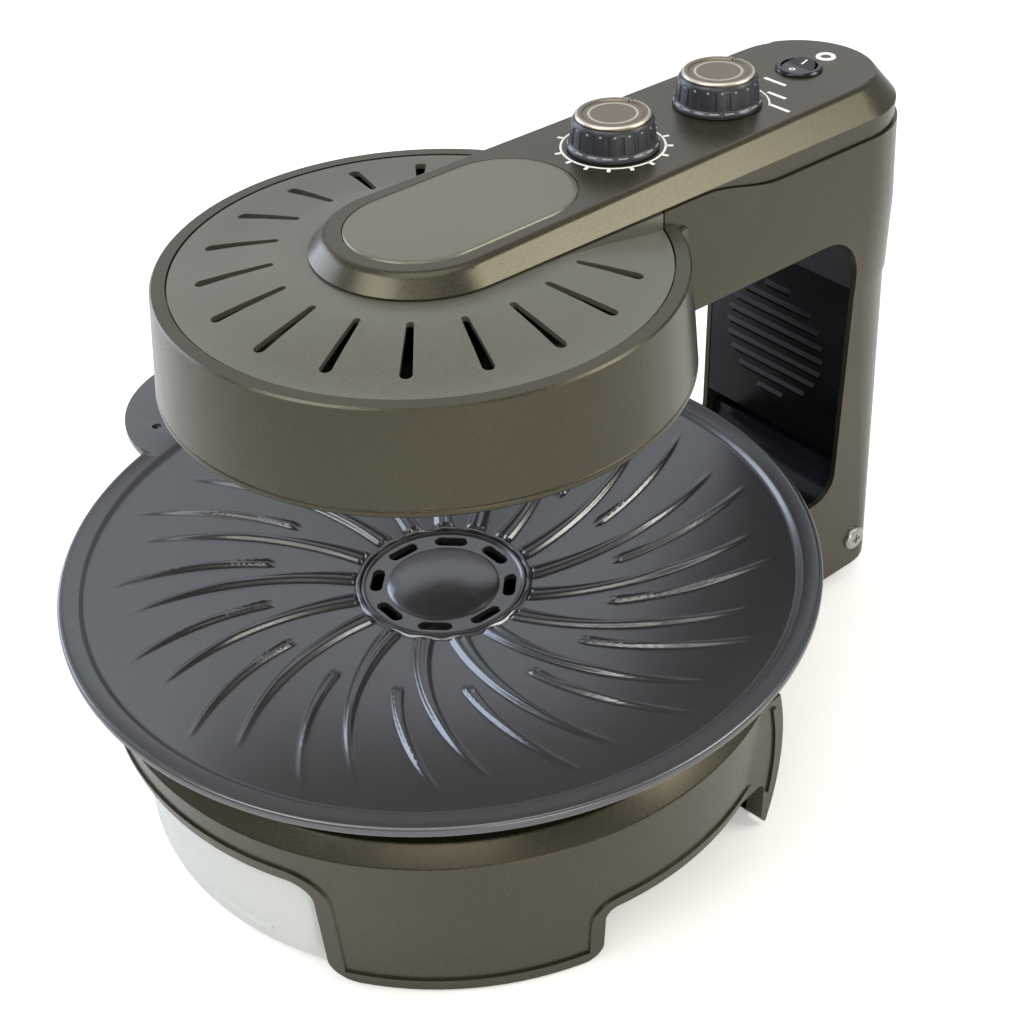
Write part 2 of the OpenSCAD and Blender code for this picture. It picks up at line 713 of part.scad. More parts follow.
module column_side() {
    polygon(concat([[low_front_y, column_seam_z]],
        arc(low_front_y - 15, cheek_top_z + 15, 15, 0, -90, 8),
        arc(cheek_front_y + 8, cheek_top_z - 8, 8, 90, 180, 5),
        arc(cheek_front_y + 12, cheek_foot_z + 12, 12, 180, 270, 6),
        arc(pivot_y, pivot_z, pivot_z - cheek_foot_z, 270, 360, 8),
        [[column_back_y, pivot_z + 20], [column_back_y, column_seam_z]]));
}

module column_shell() {
    color([0.3, 0.28, 0.22]) difference() {
        intersection() {
            across(low_half + 1) column_side();
            union() {
                column_loft(0);
                translate([-low_half, cheek_front_y, 0]) cube([2 * low_half, low_front_y + 4 - cheek_front_y, 150]);
            }
        }
        difference() {
            union() {
                column_loft(shell_t);
                translate([shell_t - low_half, cheek_front_y - 1, 0])
                    cube([2 * (low_half - shell_t), low_front_y + 6 - cheek_front_y, column_seam_z + 1]);
            }
            translate([-low_half, pivot_y + 2, 0]) cube([2 * low_half, 60, cheek_foot_z + shell_t]);
        }
        translate([shell_t - low_half, pivot_y, pivot_z]) rotate([0, 90, 0])
            cylinder(h = 2 * (low_half - shell_t), r = barrel_r + 1.5);
        translate([-low_half - 2, pivot_y, pivot_z]) rotate([0, 90, 0]) cylinder(h = 2 * low_half + 4, r = hinge_pin_r);
        translate([0, column_back_y + 1, gland_z]) rotate([90, 0, 0]) cylinder(h = 30, r = 8.2);
        for (i = [-3 : 3]) translate([-17, pivot_y + 10, louvre_z + i * 7 - 1.5]) cube([34, 40, 3]);
    }
}

knob_hole_r = 4;

// Lays what is drawn on a level face onto the arm's slightly rising top face
module on_top() {
    translate([0, timer_y, arm_top_z]) rotate([top_tilt, 0, 0]) translate([0, -timer_y, -arm_top_z]) children();
}

over = 5;
function half_over(inset) = band_half - inset - (arm_band_w - inset * 0.4) * (arm_band_h + over) / (arm_band_h - inset);

// Outer form of the top cover: a sloping band all round a flat face, then a
// straight edge down to the seam
module cover_form(inset, lift) {
    difference() {
        leaning_block(band_z, arm_top_z + over, band_half - inset, half_over(inset), 0);
        on_top() translate([-60, -80, arm_top_z - inset]) cube([120, 400, 20]);
    }
    intersection() {
        leaning_block(seam_back_z - 10, band_z + e, band_half - inset, band_half - inset, 0);
        across(column_half + 5) polygon(concat([[-100, seam_front_z + lift]],
            [for (p = seam_line()) p + [0, lift]],
            [[column_back_y + 5, seam_back_z + lift], [column_back_y + 5, arm_top_z], [-100, arm_top_z]]));
    }
}

plate_r = 32;
plate_len = 46;
plate_depth = 1.6;

module arm_top_cover() {
    color([0.36, 0.34, 0.28]) difference() {
        cover_form(0, 0.5);
        cover_form(cover_t, -9);
        on_top() {
            translate([0, 0, arm_top_z - plate_depth]) linear_extrude(5) stadium(plate_r + 0.4, plate_len);
            for (y = [timer_y, level_y]) translate([0, y, arm_top_z - 6]) cylinder(h = 12, r = knob_hole_r, $fn = 48);
            translate([0, switch_y, arm_top_z - 6]) cylinder(h = 12, r = switch_r + 0.1);
            translate([0, indicator_y, arm_top_z - 6]) cylinder(h = 12, r = 2.6, $fn = 32);
        }
    }
}

module name_plate() {
    color([0.42, 0.4, 0.34]) on_top() translate([0, 0, arm_top_z - plate_depth]) {
        linear_extrude(plate_depth) stadium(plate_r, plate_len);
        linear_extrude(plate_depth + 0.5) stadium(plate_r - 0.6, plate_len);
    }
}

// Black cover between the arm's sides, from the head round to the column's front
module arm_under_cover() {
    ri = window_r;
    start_y = head_foot_r - 5;
    color([0.07, 0.07, 0.08]) difference() {
        across(column_half - shell_t - 0.3) polygon(concat(
            [[start_y, under_z], [column_front_y - ri, under_z]],
            arc(column_front_y - ri, under_z - ri, ri, 90, 0, 10),
            [[column_front_y, column_seam_z], [column_front_y + under_t, column_seam_z]],
            arc(column_front_y - ri, under_z - ri, ri + under_t, 0, 90, 10),
            [[start_y, under_top_z]]));
        for (s = [-1, 1]) for (p = screw_spots) translate([s * p[0], p[1], under_z - 1]) cylinder(h = 5, r = 1.8, $fn = 24);
        translate([0, 0, under_z - 1]) cylinder(h = 6, r = head_foot_r + 0.5);
    }
}

// Screws that hold the under cover, their heads below the arm
module under_screws() {
    color([0.2, 0.2, 0.2]) for (s = [-1, 1]) for (p = screw_spots) translate([s * p[0], p[1], under_z]) difference() {
        union() {
            translate([0, 0, -1.6]) cylinder(h = 1.6, r = 3, $fn = 32);
            translate([0, 0, -0.5]) cylinder(h = 11, r = 1.45, $fn = 24);
        }
        translate([0, 0, -2]) cylinder(h = 1.4, r = 1.4, $fn = 6);
    }
}

louvre_r = 33;
louvre_z = 146;
louvre_step = 8;
panel_foot_z = 95;

// Black front of the column with nine hooded louvres inside a circle
module column_front_panel() {
    half = low_half - shell_t - 0.3;
    t = 3;
    front = low_front_y + 0.4;
    color([0.06, 0.06, 0.08]) {
        difference() {
            translate([-half, front, panel_foot_z]) cube([2 * half, t, column_seam_z - panel_foot_z]);
            for (i = [-4 : 4]) translate([-louvre_half(i), front - 1, louvre_z + i * louvre_step - 1.8])
                cube([2 * louvre_half(i), t + 2, 3.6]);
        }
        for (i = [-4 : 4]) translate([-louvre_half(i) - 1, front, louvre_z + i * louvre_step + 1.8])
            rotate([90, 0, 90]) linear_extrude(2 * louvre_half(i) + 2)
                polygon([[0.5, 0], [-1.6, -1.6], [-1.6, -0.9], [0.5, 1.6]]);
    }
}

panel_back_y = low_front_y + 3.4;

function louvre_half(i) = sqrt(louvre_r * louvre_r - i * i * louvre_step * louvre_step);

// ---------------------------------------------------------------- head

slot_in = 63;
slot_out = 92;

// Slot that widens outwards, with round ends
module vent_slot(r0) {
    translate([0, -r0]) circle(1.5, $fn = 24);
    translate([0, -slot_out]) circle(2.6, $fn = 24);
    polygon([[-1.5, -r0], [1.5, -r0], [2.6, -slot_out], [-2.6, -slot_out]]);
}

// Domed and slotted cover, with the low wall that the arm's nose and sides stand on
module head_top_cover() {
    z = head_top_z - cover_low;
    top = z + cover_low + dome_rise;
    color([0.42, 0.42, 0.4]) difference() {
        union() {
            rotate_extrude() polygon([[0, top - cover_t], [54, top - cover_t], [63, top - cover_t - 0.5],
                [80, z + dome_rise * 0.6 - cover_t], [92, z + dome_rise * 0.27 - cover_t], [100, z - cover_t], [cover_r, z - cover_t],
                [cover_r, z], [102, z + 0.2], [92, z + dome_rise * 0.27], [80, z + dome_rise * 0.6],
                [63, top - 0.5], [54, top], [0, top]]);
            intersection() {
                leaning_block(z - 1, seam_front_z - 0.3, arm_top_half + 0.5, arm_top_half, 0);
                cylinder(h = big, r = cover_r);
            }
        }
        translate([0, 0, z - 10]) linear_extrude(30) stadium(arm_top_half - cover_t, 150);
        for (i = [-7 : 6]) rotate([0, 0, (i + 0.5) * slot_pitch]) translate([0, 0, z - 5]) linear_extrude(20)
            vent_slot(i == -7 || i == 6 ? slot_in + 5 : slot_in);
    }
}

// Trim ring round the head's lower edge
module head_ring() {
    color([0.2, 0.19, 0.16]) rotate_extrude() polygon([[head_foot_r - 9, head_z], [head_foot_r - 0.8, head_z],
        [head_foot_r, head_z + 0.8], [head_foot_r - 0.3, head_z + ring_h - 0.7], [head_foot_r - 1.2, head_z + ring_h],
        [head_foot_r - 9, head_z + ring_h]]);
}

shield_r = head_foot_r - 12;

module heat_shield() {
    color([0.5, 0.5, 0.5]) difference() {
        rotate_extrude() polygon([[shield_r, head_z + 0.5], [shield_r + 3, head_z + 0.5], [shield_r + 3, head_z + ring_h],
            [shield_r + 6, head_z + ring_h], [shield_r + 6, head_z + ring_h + 1.2], [shield_r + 1.2, head_z + ring_h + 1.2],
            [shield_r + 1.2, reflector_z + 3.2], [shield_r, reflector_z + 3.2]]);
    }
}

reflector_z = head_top_z - 13;
tube_z = head_z + 18;
tube_r = 6;
tube_ys = [-52, 0, 52];
tube_end = shield_r - 22;
function tube_half(y) = sqrt(tube_end * tube_end - y * y);

// Polished dish over the tubes
module reflector() {
    color([0.8, 0.8, 0.78]) rotate_extrude() polygon([[0, reflector_z], [shield_r - 9, reflector_z],
        [shield_r - 4, reflector_z - 8], [shield_r - 0.2, reflector_z - 8], [shield_r - 0.2, reflector_z - 7],
        [shield_r - 3.4, reflector_z - 7], [shield_r - 8.4, reflector_z + 1], [0, reflector_z + 1]]);
}

module heater_tubes() {
    color([0.85, 0.6, 0.4]) for (y = tube_ys) translate([-tube_half(y), y, tube_z]) rotate([0, 90, 0])
        cylinder(h = 2 * tube_half(y), r = tube_r, $fn = 48);
}

module tube_holders() {
    color([0.85, 0.83, 0.78]) for (y = tube_ys) for (s = [0, 1]) mirror([s, 0, 0])
        translate([tube_half(y) - 4, y, tube_z]) difference() {
            translate([0, -8, -8]) cube([11, 16, reflector_z - tube_z + 8]);
            translate([-1, 0, 0]) rotate([0, 90, 0]) cylinder(h = 5, r = tube_r, $fn = 48);
        }
}

guard_r = shield_r - 0.3;

// Welded guard under the tubes
module guard_grille() {
    wire = 2;
    color([0.7, 0.7, 0.7]) translate([0, 0, head_z + 1.2]) {
        rotate_extrude() translate([guard_r - 4, 0]) square([4, 3]);
        intersection() {
            union() {
                for (x = [-90 : 15 : 90]) translate([x - wire / 2, -guard_r, 0]) cube([wire, 2 * guard_r, wire]);
                for (y = [-50, 0, 50]) translate([-guard_r, y - wire / 2, wire - 0.6]) cube([2 * guard_r, wire, 1.4]);
            }
            cylinder(h = 5, r = guard_r - 1);
        }
    }
}

// ---------------------------------------------------------------- hinge and column fittings

module hinge_pins() {
    cheek = low_half;
    color([0.75, 0.75, 0.72]) for (s = [0, 1]) mirror([s, 0, 0]) translate([0, pivot_y, pivot_z]) rotate([0, 90, 0]) difference() {
        union() {
            translate([0, 0, tail_half - bush_len + 2]) cylinder(h = cheek - tail_half + bush_len - 2, r = hinge_pin_r);
            rotate([180, 0, 0]) translate([0, 0, -cheek]) rotate_extrude() polygon([[0, -2.6], [5.4, -2.6], [6.8, -1.6], [7.2, 0], [0, 0]]);
        }
        for (a = [0, 90]) rotate([0, 0, a]) translate([-3.2, -0.7, cheek + 1]) cube([6.4, 1.4, 3]);
    }
}

module friction_washers() {
    inner = low_half - shell_t;
    color([0.6, 0.6, 0.6]) for (s = [0, 1]) mirror([s, 0, 0]) translate([inner - 1.2, pivot_y, pivot_z]) rotate([0, 90, 0]) difference() {
        cylinder(h = 1.2, r = 10.5);
        translate([0, 0, -1]) cylinder(h = 4, r = hinge_pin_r + 0.05);
    }
}

gland_z = 58;

gland_back_y = foot_back_y + (column_back_y - 1 - foot_back_y) * (gland_z - cheek_foot_z) / (column_seam_z - cheek_foot_z);

// Strain relief where the supply cord leaves the column's back
module cord_gland() {
    color([0.05, 0.05, 0.05]) translate([0, gland_back_y, gland_z]) rotate([-90, 0, 0]) difference() {
        union() {
            translate([0, 0, -6]) cylinder(h = 7, r = 8);
            translate([0, 0, 0.9]) cylinder(h = 2, r = 10.5);
            translate([0, 0, 2.8]) cylinder(h = 6, r1 = 8, r2 = 6);
            translate([0, 0, -6]) cylinder(h = 2, r = 10);
        }
        translate([0, 0, -10]) cylinder(h = 30, r = 3.6, $fn = 32);
    }
}

fan_z = louvre_z;
fan_y = panel_back_y + 5;
fan_depth = 14;
fan_r = 29;
rotor_r = fan_r - 1.2;
motor_shaft_r = 1.5;

// Square frame with four stays that carry the motor
module fan_frame() {
    color([0.12, 0.12, 0.12]) translate([0, fan_y, fan_z]) rotate([-90, 0, 0]) {
        difference() {
            translate([-fan_r - 2, -fan_r - 2, 0]) cube([2 * fan_r + 4, 2 * fan_r + 4, fan_depth]);
            translate([0, 0, -1]) cylinder(h = fan_depth + 2, r = fan_r);
        }
        translate([0, 0, fan_depth - 2]) difference() {
            union() {
                cylinder(h = 2, r = 12);
                for (a = [0, 90]) rotate([0, 0, a]) translate([-fan_r - 1, -1.5, 0]) cube([2 * fan_r + 2, 3, 2]);
            }
            translate([0, 0, -1]) cylinder(h = 4, r = motor_shaft_r + 0.6, $fn = 32);
        }
        for (s = [-1, 1]) translate([s * (fan_r + 1) - 3, -fan_r - 2, panel_back_y - fan_y])
            cube([6, 2 * fan_r + 4, fan_y - panel_back_y + 1]);
    }
}

// Motor behind the frame's stays, with its shaft forward through them
module fan_motor() {
    color([0.35, 0.35, 0.36]) translate([0, fan_y + fan_depth, fan_z]) rotate([-90, 0, 0]) {
        cylinder(h = 12, r = 11);
        translate([0, 0, -fan_depth + 1.5]) cylinder(h = fan_depth, r = motor_shaft_r, $fn = 32);
    }
}

module fan_rotor() {
    blades = 7;
    color([0.15, 0.15, 0.15]) translate([0, fan_y, fan_z]) rotate([-90, 0, 0]) {
        difference() {
            translate([0, 0, 1]) cylinder(h = fan_depth - 3.6, r = 10);
            translate([0, 0, 3.5]) cylinder(h = fan_depth, r = 8.4);
            cylinder(h = 5, r = motor_shaft_r + run_gap, $fn = 32);
        }
        intersection() {
            for (i = [0 : blades - 1]) rotate([0, 0, i * 360 / blades]) translate([9, 0, fan_depth / 2 - 0.5])
                rotate([32, 0, 0]) translate([0, -7, -0.7]) cube([rotor_r, 14, 1.4]);
            difference() {
                translate([0, 0, 1.5]) cylinder(h = fan_depth - 4.5, r = rotor_r);
                cylinder(h = fan_depth, r = 9);
            }
        }
    }
}

// ---------------------------------------------------------------- controls

unit_z = arm_top_z - cover_t;
shaft_r = 3;

// Clockwork or rotary unit under the cover, with a bore for the knob's shaft
module control_unit(y, w, h) {
    translate([0, y, unit_z]) difference() {
        translate([-w / 2, -w / 2, -h]) cube([w, w, h]);
        translate([0, 0, -h + 4]) cylinder(h = h + 5, r = shaft_r + run_gap, $fn = 48);
    }
}

module timer_unit() {
    color([0.7, 0.7, 0.7]) control_unit(timer_y, 40, 22);
}

module level_unit() {
    color([0.25, 0.25, 0.25]) control_unit(level_y, 30, 16);
}

board_z = unit_z - 34;

// Board on four pillars under the units
module control_board() {
    color([0.1, 0.35, 0.2]) {
        translate([-32, 132, board_z]) cube([64, 82, 1.6]);
        for (x = [-27, 27]) for (y = [137, 209]) translate([x, y, under_top_z])
            cylinder(h = board_z - under_top_z + 0.5, r = 3, $fn = 32);
        translate([-20, 150, board_z + 1.6]) cube([24, 18, 12]);
        translate([12, 180, board_z + 1.6]) cylinder(h = 14, r = 7, $fn = 32);
        translate([-10, 186, board_z + 1.6]) cube([14, 14, 8]);
    }
}

knob_foot_z = arm_top_z + gap;
knob_top_r = knob_r - 2.8;

module knob_shaft(y, depth) {
    translate([0, y, unit_z - depth]) cylinder(h = depth + cover_t + gap + 7, r = shaft_r, $fn = 48);
}

// Fluted knob with a flared foot; its bore takes the shaft
module knob(y) {
    flutes = 18;
    translate([0, y, knob_foot_z]) difference() {
        rotate_extrude() polygon([[0, 0], [knob_r, 0], [knob_r, 1.4], [knob_r - 1.3, 3],
            [knob_top_r + 0.4, knob_h - 3.2], [knob_top_r - 0.6, knob_h - 1.6], [0, knob_h - 1.6]]);
        translate([0, 0, -1]) cylinder(h = 7 + 1, r = shaft_r, $fn = 48);
        for (i = [0 : flutes - 1]) rotate([0, 0, (i + 0.5) * 360 / flutes])
            translate([knob_r - 0.6, 0, 3.4]) rotate([0, -4, 0]) cylinder(h = knob_h - 7.4, r = 1.5, $fn = 16);
    }
}

// Metal disc on the knob with a pointer notch in its rim
module knob_cap(y, turn) {
    r = knob_top_r - 0.9;
    translate([0, y, knob_foot_z + knob_h - 1.6]) rotate([0, 0, turn]) difference() {
        rotate_extrude() polygon([[0, 0], [r, 0], [r, 0.7], [r - 0.9, 1.6], [r - 3.2, 1.6],
            [r - 3.8, 1.1], [0, 1.1]]);
        translate([-0.8, r - 4, 0.6]) cube([1.6, 6, 3]);
    }
}

timer_turn = 15;
level_turn = 15;

switch_r = 10;
bezel_r = 11.6;
rocker_r = 8.2;
rocker_tilt = 7;
rocker_axis_z = arm_top_z - 3;

module switch_housing() {
    color([0.1, 0.1, 0.1]) translate([0, switch_y, 0]) difference() {
        union() {
            translate([0, 0, arm_top_z]) rotate_extrude() polygon([[0, 0], [bezel_r, 0], [bezel_r, 0.8], [bezel_r - 1, 1.8], [bezel_r - 2.4, 1.8], [0, 1.8]]);
            translate([0, 0, arm_top_z - 17]) cylinder(h = 17.5, r = switch_r);
            for (y = [-5, 0, 5]) translate([-2.4, y - 0.4, arm_top_z - 25]) cube([4.8, 0.8, 8.5]);
        }
        translate([0, 0, arm_top_z - 13]) cylinder(h = 20, r = rocker_r + 0.8);
    }
    color([0.1, 0.1, 0.1]) for (s = [-1, 1]) translate([s * (rocker_r - 0.7), switch_y, rocker_axis_z]) rotate([0, 90, 0])
        cylinder(h = 3.2, r = 1, center = true, $fn = 24);
}

// Round rocker that tips about X on two trunnions
module power_rocker() {
    r = rocker_r;
    color([0.06, 0.06, 0.07]) translate([0, switch_y, rocker_axis_z]) rotate([rocker_tilt, 0, 0]) difference() {
        intersection() {
            translate([0, 0, -4]) cylinder(h = 12, r = r - 0.2);
            across(r + 1) polygon([[-r, -3], [r, -3], [r, 5.2], [0, 4], [-r, 5.2]]);
        }
        translate([-r - 1, 0, 0]) rotate([0, 90, 0]) cylinder(h = 2 * r + 2, r = 1 + run_gap, $fn = 24);
    }
}

indicator_y = switch_y + 19.5;

module indicator_ring() {
    color([0.9, 0.9, 0.88]) translate([0, indicator_y, arm_top_z]) difference() {
        rotate_extrude() polygon([[2.6, 0], [5, 0], [5, 0.4], [4.6, 0.8], [3, 0.8], [2.6, 0.4]]);
    }
}

module indicator_lens() {
    color([0.25, 0.08, 0.05]) translate([0, indicator_y, arm_top_z - 8]) {
        cylinder(h = 8.4, r = 2.5, $fn = 32);
        cylinder(h = 4, r = 3.4, $fn = 32);
    }
}

place() base_shell();
place() base_floor();
place() base_bowl();
place() drain_funnel();
place() tray_rails();
place() rubber_feet();
place() base_tail();
place() hinge_bushes();
place() floor_screws();
place() pan();
place() drain_cap();
place() oil_tray();
place() arm_shell();
place() column_shell();
place() arm_top_cover();
place() arm_under_cover();
place() column_front_panel();
place() name_plate();
place() head_top_cover();
place() head_ring();
place() heat_shield();
place() reflector();
place() heater_tubes();
place() tube_holders();
place() guard_grille();
place() hinge_pins();
place() friction_washers();
place() under_screws();
place() cord_gland();
place() fan_frame();
place() fan_motor();
place() fan_rotor();
place() on_top() timer_unit();
place() on_top() level_unit();
place() control_board();
place() on_top() switch_housing();
place() on_top() power_rocker();
place() on_top() indicator_ring();
place() on_top() indicator_lens();
place() on_top() color([0.7, 0.7, 0.7]) knob_shaft(timer_y, 14);  // timer_shaft
place() on_top() color([0.1, 0.11, 0.15]) knob(timer_y);  // timer_knob
place() on_top() color([0.6, 0.57, 0.5]) knob_cap(timer_y, timer_turn);  // timer_cap
place() on_top() color([0.7, 0.7, 0.7]) knob_shaft(level_y, 10);  // level_shaft
place() on_top() color([0.1, 0.11, 0.15]) knob(level_y);  // level_knob
place() on_top() color([0.6, 0.57, 0.5]) knob_cap(level_y, level_turn);  // level_cap
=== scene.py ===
"""Electric indoor grill with a tilting infrared head: every surface's finish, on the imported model."""

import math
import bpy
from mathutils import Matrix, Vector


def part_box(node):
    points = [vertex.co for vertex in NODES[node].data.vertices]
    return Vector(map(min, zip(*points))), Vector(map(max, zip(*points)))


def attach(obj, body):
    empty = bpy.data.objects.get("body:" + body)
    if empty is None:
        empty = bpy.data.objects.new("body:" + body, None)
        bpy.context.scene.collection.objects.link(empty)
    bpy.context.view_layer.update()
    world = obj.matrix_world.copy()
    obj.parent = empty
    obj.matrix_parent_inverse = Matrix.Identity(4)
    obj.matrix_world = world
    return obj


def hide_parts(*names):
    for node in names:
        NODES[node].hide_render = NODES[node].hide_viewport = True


bl_info = {
    "name": "Electric Indoor Grill",
    "version": (1, 0, 0),
    "blender": (4, 5, 0),
    "location": "View3D > Sidebar > Grill",
    "description": "Builds the finished electric indoor grill on its packed frame",
    "category": "Object",
}

from typing import NamedTuple

import bmesh
import bpy
from bpy.props import FloatProperty, FloatVectorProperty, IntProperty, PointerProperty
from mathutils import Matrix, Vector

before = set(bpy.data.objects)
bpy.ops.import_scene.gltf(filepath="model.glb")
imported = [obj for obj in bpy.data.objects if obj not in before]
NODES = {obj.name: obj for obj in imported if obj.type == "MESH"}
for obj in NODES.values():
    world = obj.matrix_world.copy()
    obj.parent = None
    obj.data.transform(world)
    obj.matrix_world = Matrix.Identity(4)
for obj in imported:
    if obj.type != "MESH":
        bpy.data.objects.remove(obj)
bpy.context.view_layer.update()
MM = 0.001

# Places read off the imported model, in metres
CAP_LOW, CAP_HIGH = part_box("drain_cap")
AXIS = Vector(((CAP_LOW.x + CAP_HIGH.x) / 2, (CAP_LOW.y + CAP_HIGH.y) / 2, 0))
PAN_LOW, PAN_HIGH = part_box("pan")
PAN_R = PAN_HIGH.x - AXIS.x
RIM_Z = PAN_HIGH.z
COVER_LOW, COVER_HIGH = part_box("head_top_cover")
COVER_R = (COVER_HIGH.x - COVER_LOW.x) / 2
HEAD_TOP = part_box("reflector")[1].z + 12 * MM  # top of the head's wall at its rim

# Sizes that the boxes don't give, in millimetres
EAR_R = 66.0  # outline of the pan's ear
EAR_HOLE_R = 2.5
EAR_HOLE_OUT = 5.0  # from the pan's round rim out to a hole
EAR_HOLE_IN = 18.0  # from the ear's outline in to a hole
PLATE_RECESS_R = 33.0  # just clear of the round ends of the name plate's recess
PRINT_T = 0.12  # thickness of a printed mark

# Steps of the pan's mesh: round the axis, and from the hub to the rim
PAN_STEPS = 900
FLOOR_STEPS = 92

# An edge is sharp, and gets rounded, from this angle on
SHARP = math.radians(30.0)

# Name, place and size in metres, power in watts and colour of each soft lamp
LAMPS = (
    ("cool window", (-1.85, -0.7, 0.85), (1.5, 1.2), 24.0, "#dfeaff"),
    ("overhead", (0.1, -0.1, 2.3), (1.5, 1.5), 13.0, "#fbfaf6"),
    ("warm window", (1.5, 1.35, 1.7), (1.2, 0.9), 26.0, "#fdf6ea"),
    ("right sheet", (2.0, -0.6, 0.5), (1.0, 0.6), 9.0, "#fff2de"),
    ("back sheet", (-1.4, 1.15, 1.5), (2.2, 1.2), 6.0, "#f1f4fb"),
    ("key sheet", (1.05, -0.95, 1.5), (1.0, 0.5), 5.0, "#fff6e9"),
    ("front sheet", (-0.1, -1.35, 1.75), (1.2, 0.7), 14.0, "#fbfaf6"),
)


def middle(node):
    """Middle of a CAD node's box, in metres."""
    low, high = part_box(node)
    return (low + high) / 2


# ------------------------------------------------------------------ colours and materials


def srgb(code):
    """A hex colour as linear red, green, blue and alpha."""
    parts = [int(code[i : i + 2], 16) / 255 for i in (1, 3, 5)]
    return [c / 12.92 if c <= 0.04045 else ((c + 0.055) / 1.055) ** 2.4 for c in parts] + [1.0]


def add_node(tree, kind, inputs=None, **settings):
    """Adds one node to a tree. An input is a value, or the output socket that feeds it."""
    made = tree.nodes.new(kind)
    for key, value in settings.items():
        setattr(made, key, value)
    for key, value in (inputs or {}).items():
        if isinstance(value, bpy.types.NodeSocket):
            tree.links.new(value, made.inputs[key])
        else:
            made.inputs[key].default_value = value
    return made


def maths(tree, operation, *values):
    """The result of one math node."""
    return add_node(tree, "ShaderNodeMath", dict(enumerate(values)), operation=operation).outputs[0]


def new_material(name, **values):
    """A material with one Principled shader. Returns it with its tree and its shader."""
    material = bpy.data.materials.new(name)
    material.use_nodes = True
    tree = material.node_tree
    tree.nodes.clear()
    shader = add_node(tree, "ShaderNodeBsdfPrincipled", values)
    add_node(tree, "ShaderNodeOutputMaterial", {"Surface": shader.outputs[0]})
    return material, tree, shader


def object_noise(tree, size_mm, detail=2.0, roughness=0.5):
    """Noise in object space whose grains are about size_mm across."""
    place = add_node(tree, "ShaderNodeTexCoord").outputs["Object"]
    return add_node(
        tree,
        "ShaderNodeTexNoise",
        {"Vector": place, "Scale": 1 / (size_mm * MM), "Detail": detail, "Roughness": roughness},
    ).outputs["Fac"]


def spread(tree, value, low, high, start, end):
    """Maps value from low..high onto start..end."""
    return add_node(
        tree,
        "ShaderNodeMapRange",
        {"Value": value, "From Min": low, "From Max": high, "To Min": start, "To Max": end},
    ).outputs[0]


def blend_colours(tree, factor, first, second):
    """Mixes two colours by a factor."""
    mix = tree.nodes.new("ShaderNodeMix")
    mix.data_type = "RGBA"
    tree.links.new(factor, mix.inputs[0])
    for socket, value in ((mix.inputs[6], first), (mix.inputs[7], second)):
        if isinstance(value, bpy.types.NodeSocket):
            tree.links.new(value, socket)
        else:
            socket.default_value = value
    return mix.outputs[2]


def bump(tree, height, depth_mm):
    """A bump normal from a height of 0 to 1."""
    values = {"Height": height, "Distance": depth_mm * MM, "Strength": 1.0}
    return add_node(tree, "ShaderNodeBump", values).outputs[0]


def tint(tree, shader, factor, first, second):
    """Base colour that runs from the first colour to the second with a factor."""
    tree.links.new(blend_colours(tree, factor, first, second), shader.inputs["Base Color"])


def uneven(tree, shader, noise, low, high, depth_mm):
    """Roughness from low to high and a fine bump, both after the same noise."""
    tree.links.new(spread(tree, noise, 0.3, 0.7, low, high), shader.inputs["Roughness"])
    tree.links.new(bump(tree, noise, depth_mm), shader.inputs["Normal"])


def metallic_paint(name, dark, light, metallic, roughness):
    """Sprayed satin paint on a moulding: a fine flake with a faint sparkle, over a slow cloudiness."""
    values = {"Metallic": metallic, "Coat Weight": 0.3, "Coat Roughness": 0.26}
    material, tree, shader = new_material(name, **values)
    flake = object_noise(tree, 0.9, 1.0)
    cloud = object_noise(tree, 60.0, 2.0)
    grains = spread(tree, flake, 0.35, 0.65, 0.35, 0.65)
    shade = maths(tree, "ADD", grains, spread(tree, cloud, 0.3, 0.7, -0.12, 0.12))
    tint(tree, shader, shade, srgb(dark), srgb(light))
    uneven(tree, shader, flake, roughness - 0.04, roughness + 0.05, 0.003)
    return material


def moulded_plastic(name, colour, roughness, grain_mm=0.8, depth_mm=0.015, shine=0.5):
    """Injection-moulded ABS: an even colour with a fine spark-eroded grain."""
    material, tree, shader = new_material(name, **{"IOR": 1.5, "Specular IOR Level": shine})
    grain = object_noise(tree, grain_mm, 2.0)
    cloud = spread(tree, object_noise(tree, 35.0), 0.3, 0.7, 0.0, 1.0)
    light = [min(1.0, c * 1.25 + 0.004) for c in srgb(colour)[:3]] + [1.0]
    tint(tree, shader, cloud, srgb(colour), light)
    uneven(tree, shader, grain, roughness - 0.05, roughness + 0.07, depth_mm)
    return material


def turned_metal(name, colour, roughness, metallic=1.0):
    """Turned or rolled metal: bright, with a fine drawn unevenness."""
    material, tree, shader = new_material(name, **{"Metallic": metallic, "Base Color": srgb(colour)})
    streak = object_noise(tree, 1.5, 3.0)
    uneven(tree, shader, streak, roughness - 0.06, roughness + 0.08, 0.01)
    return material


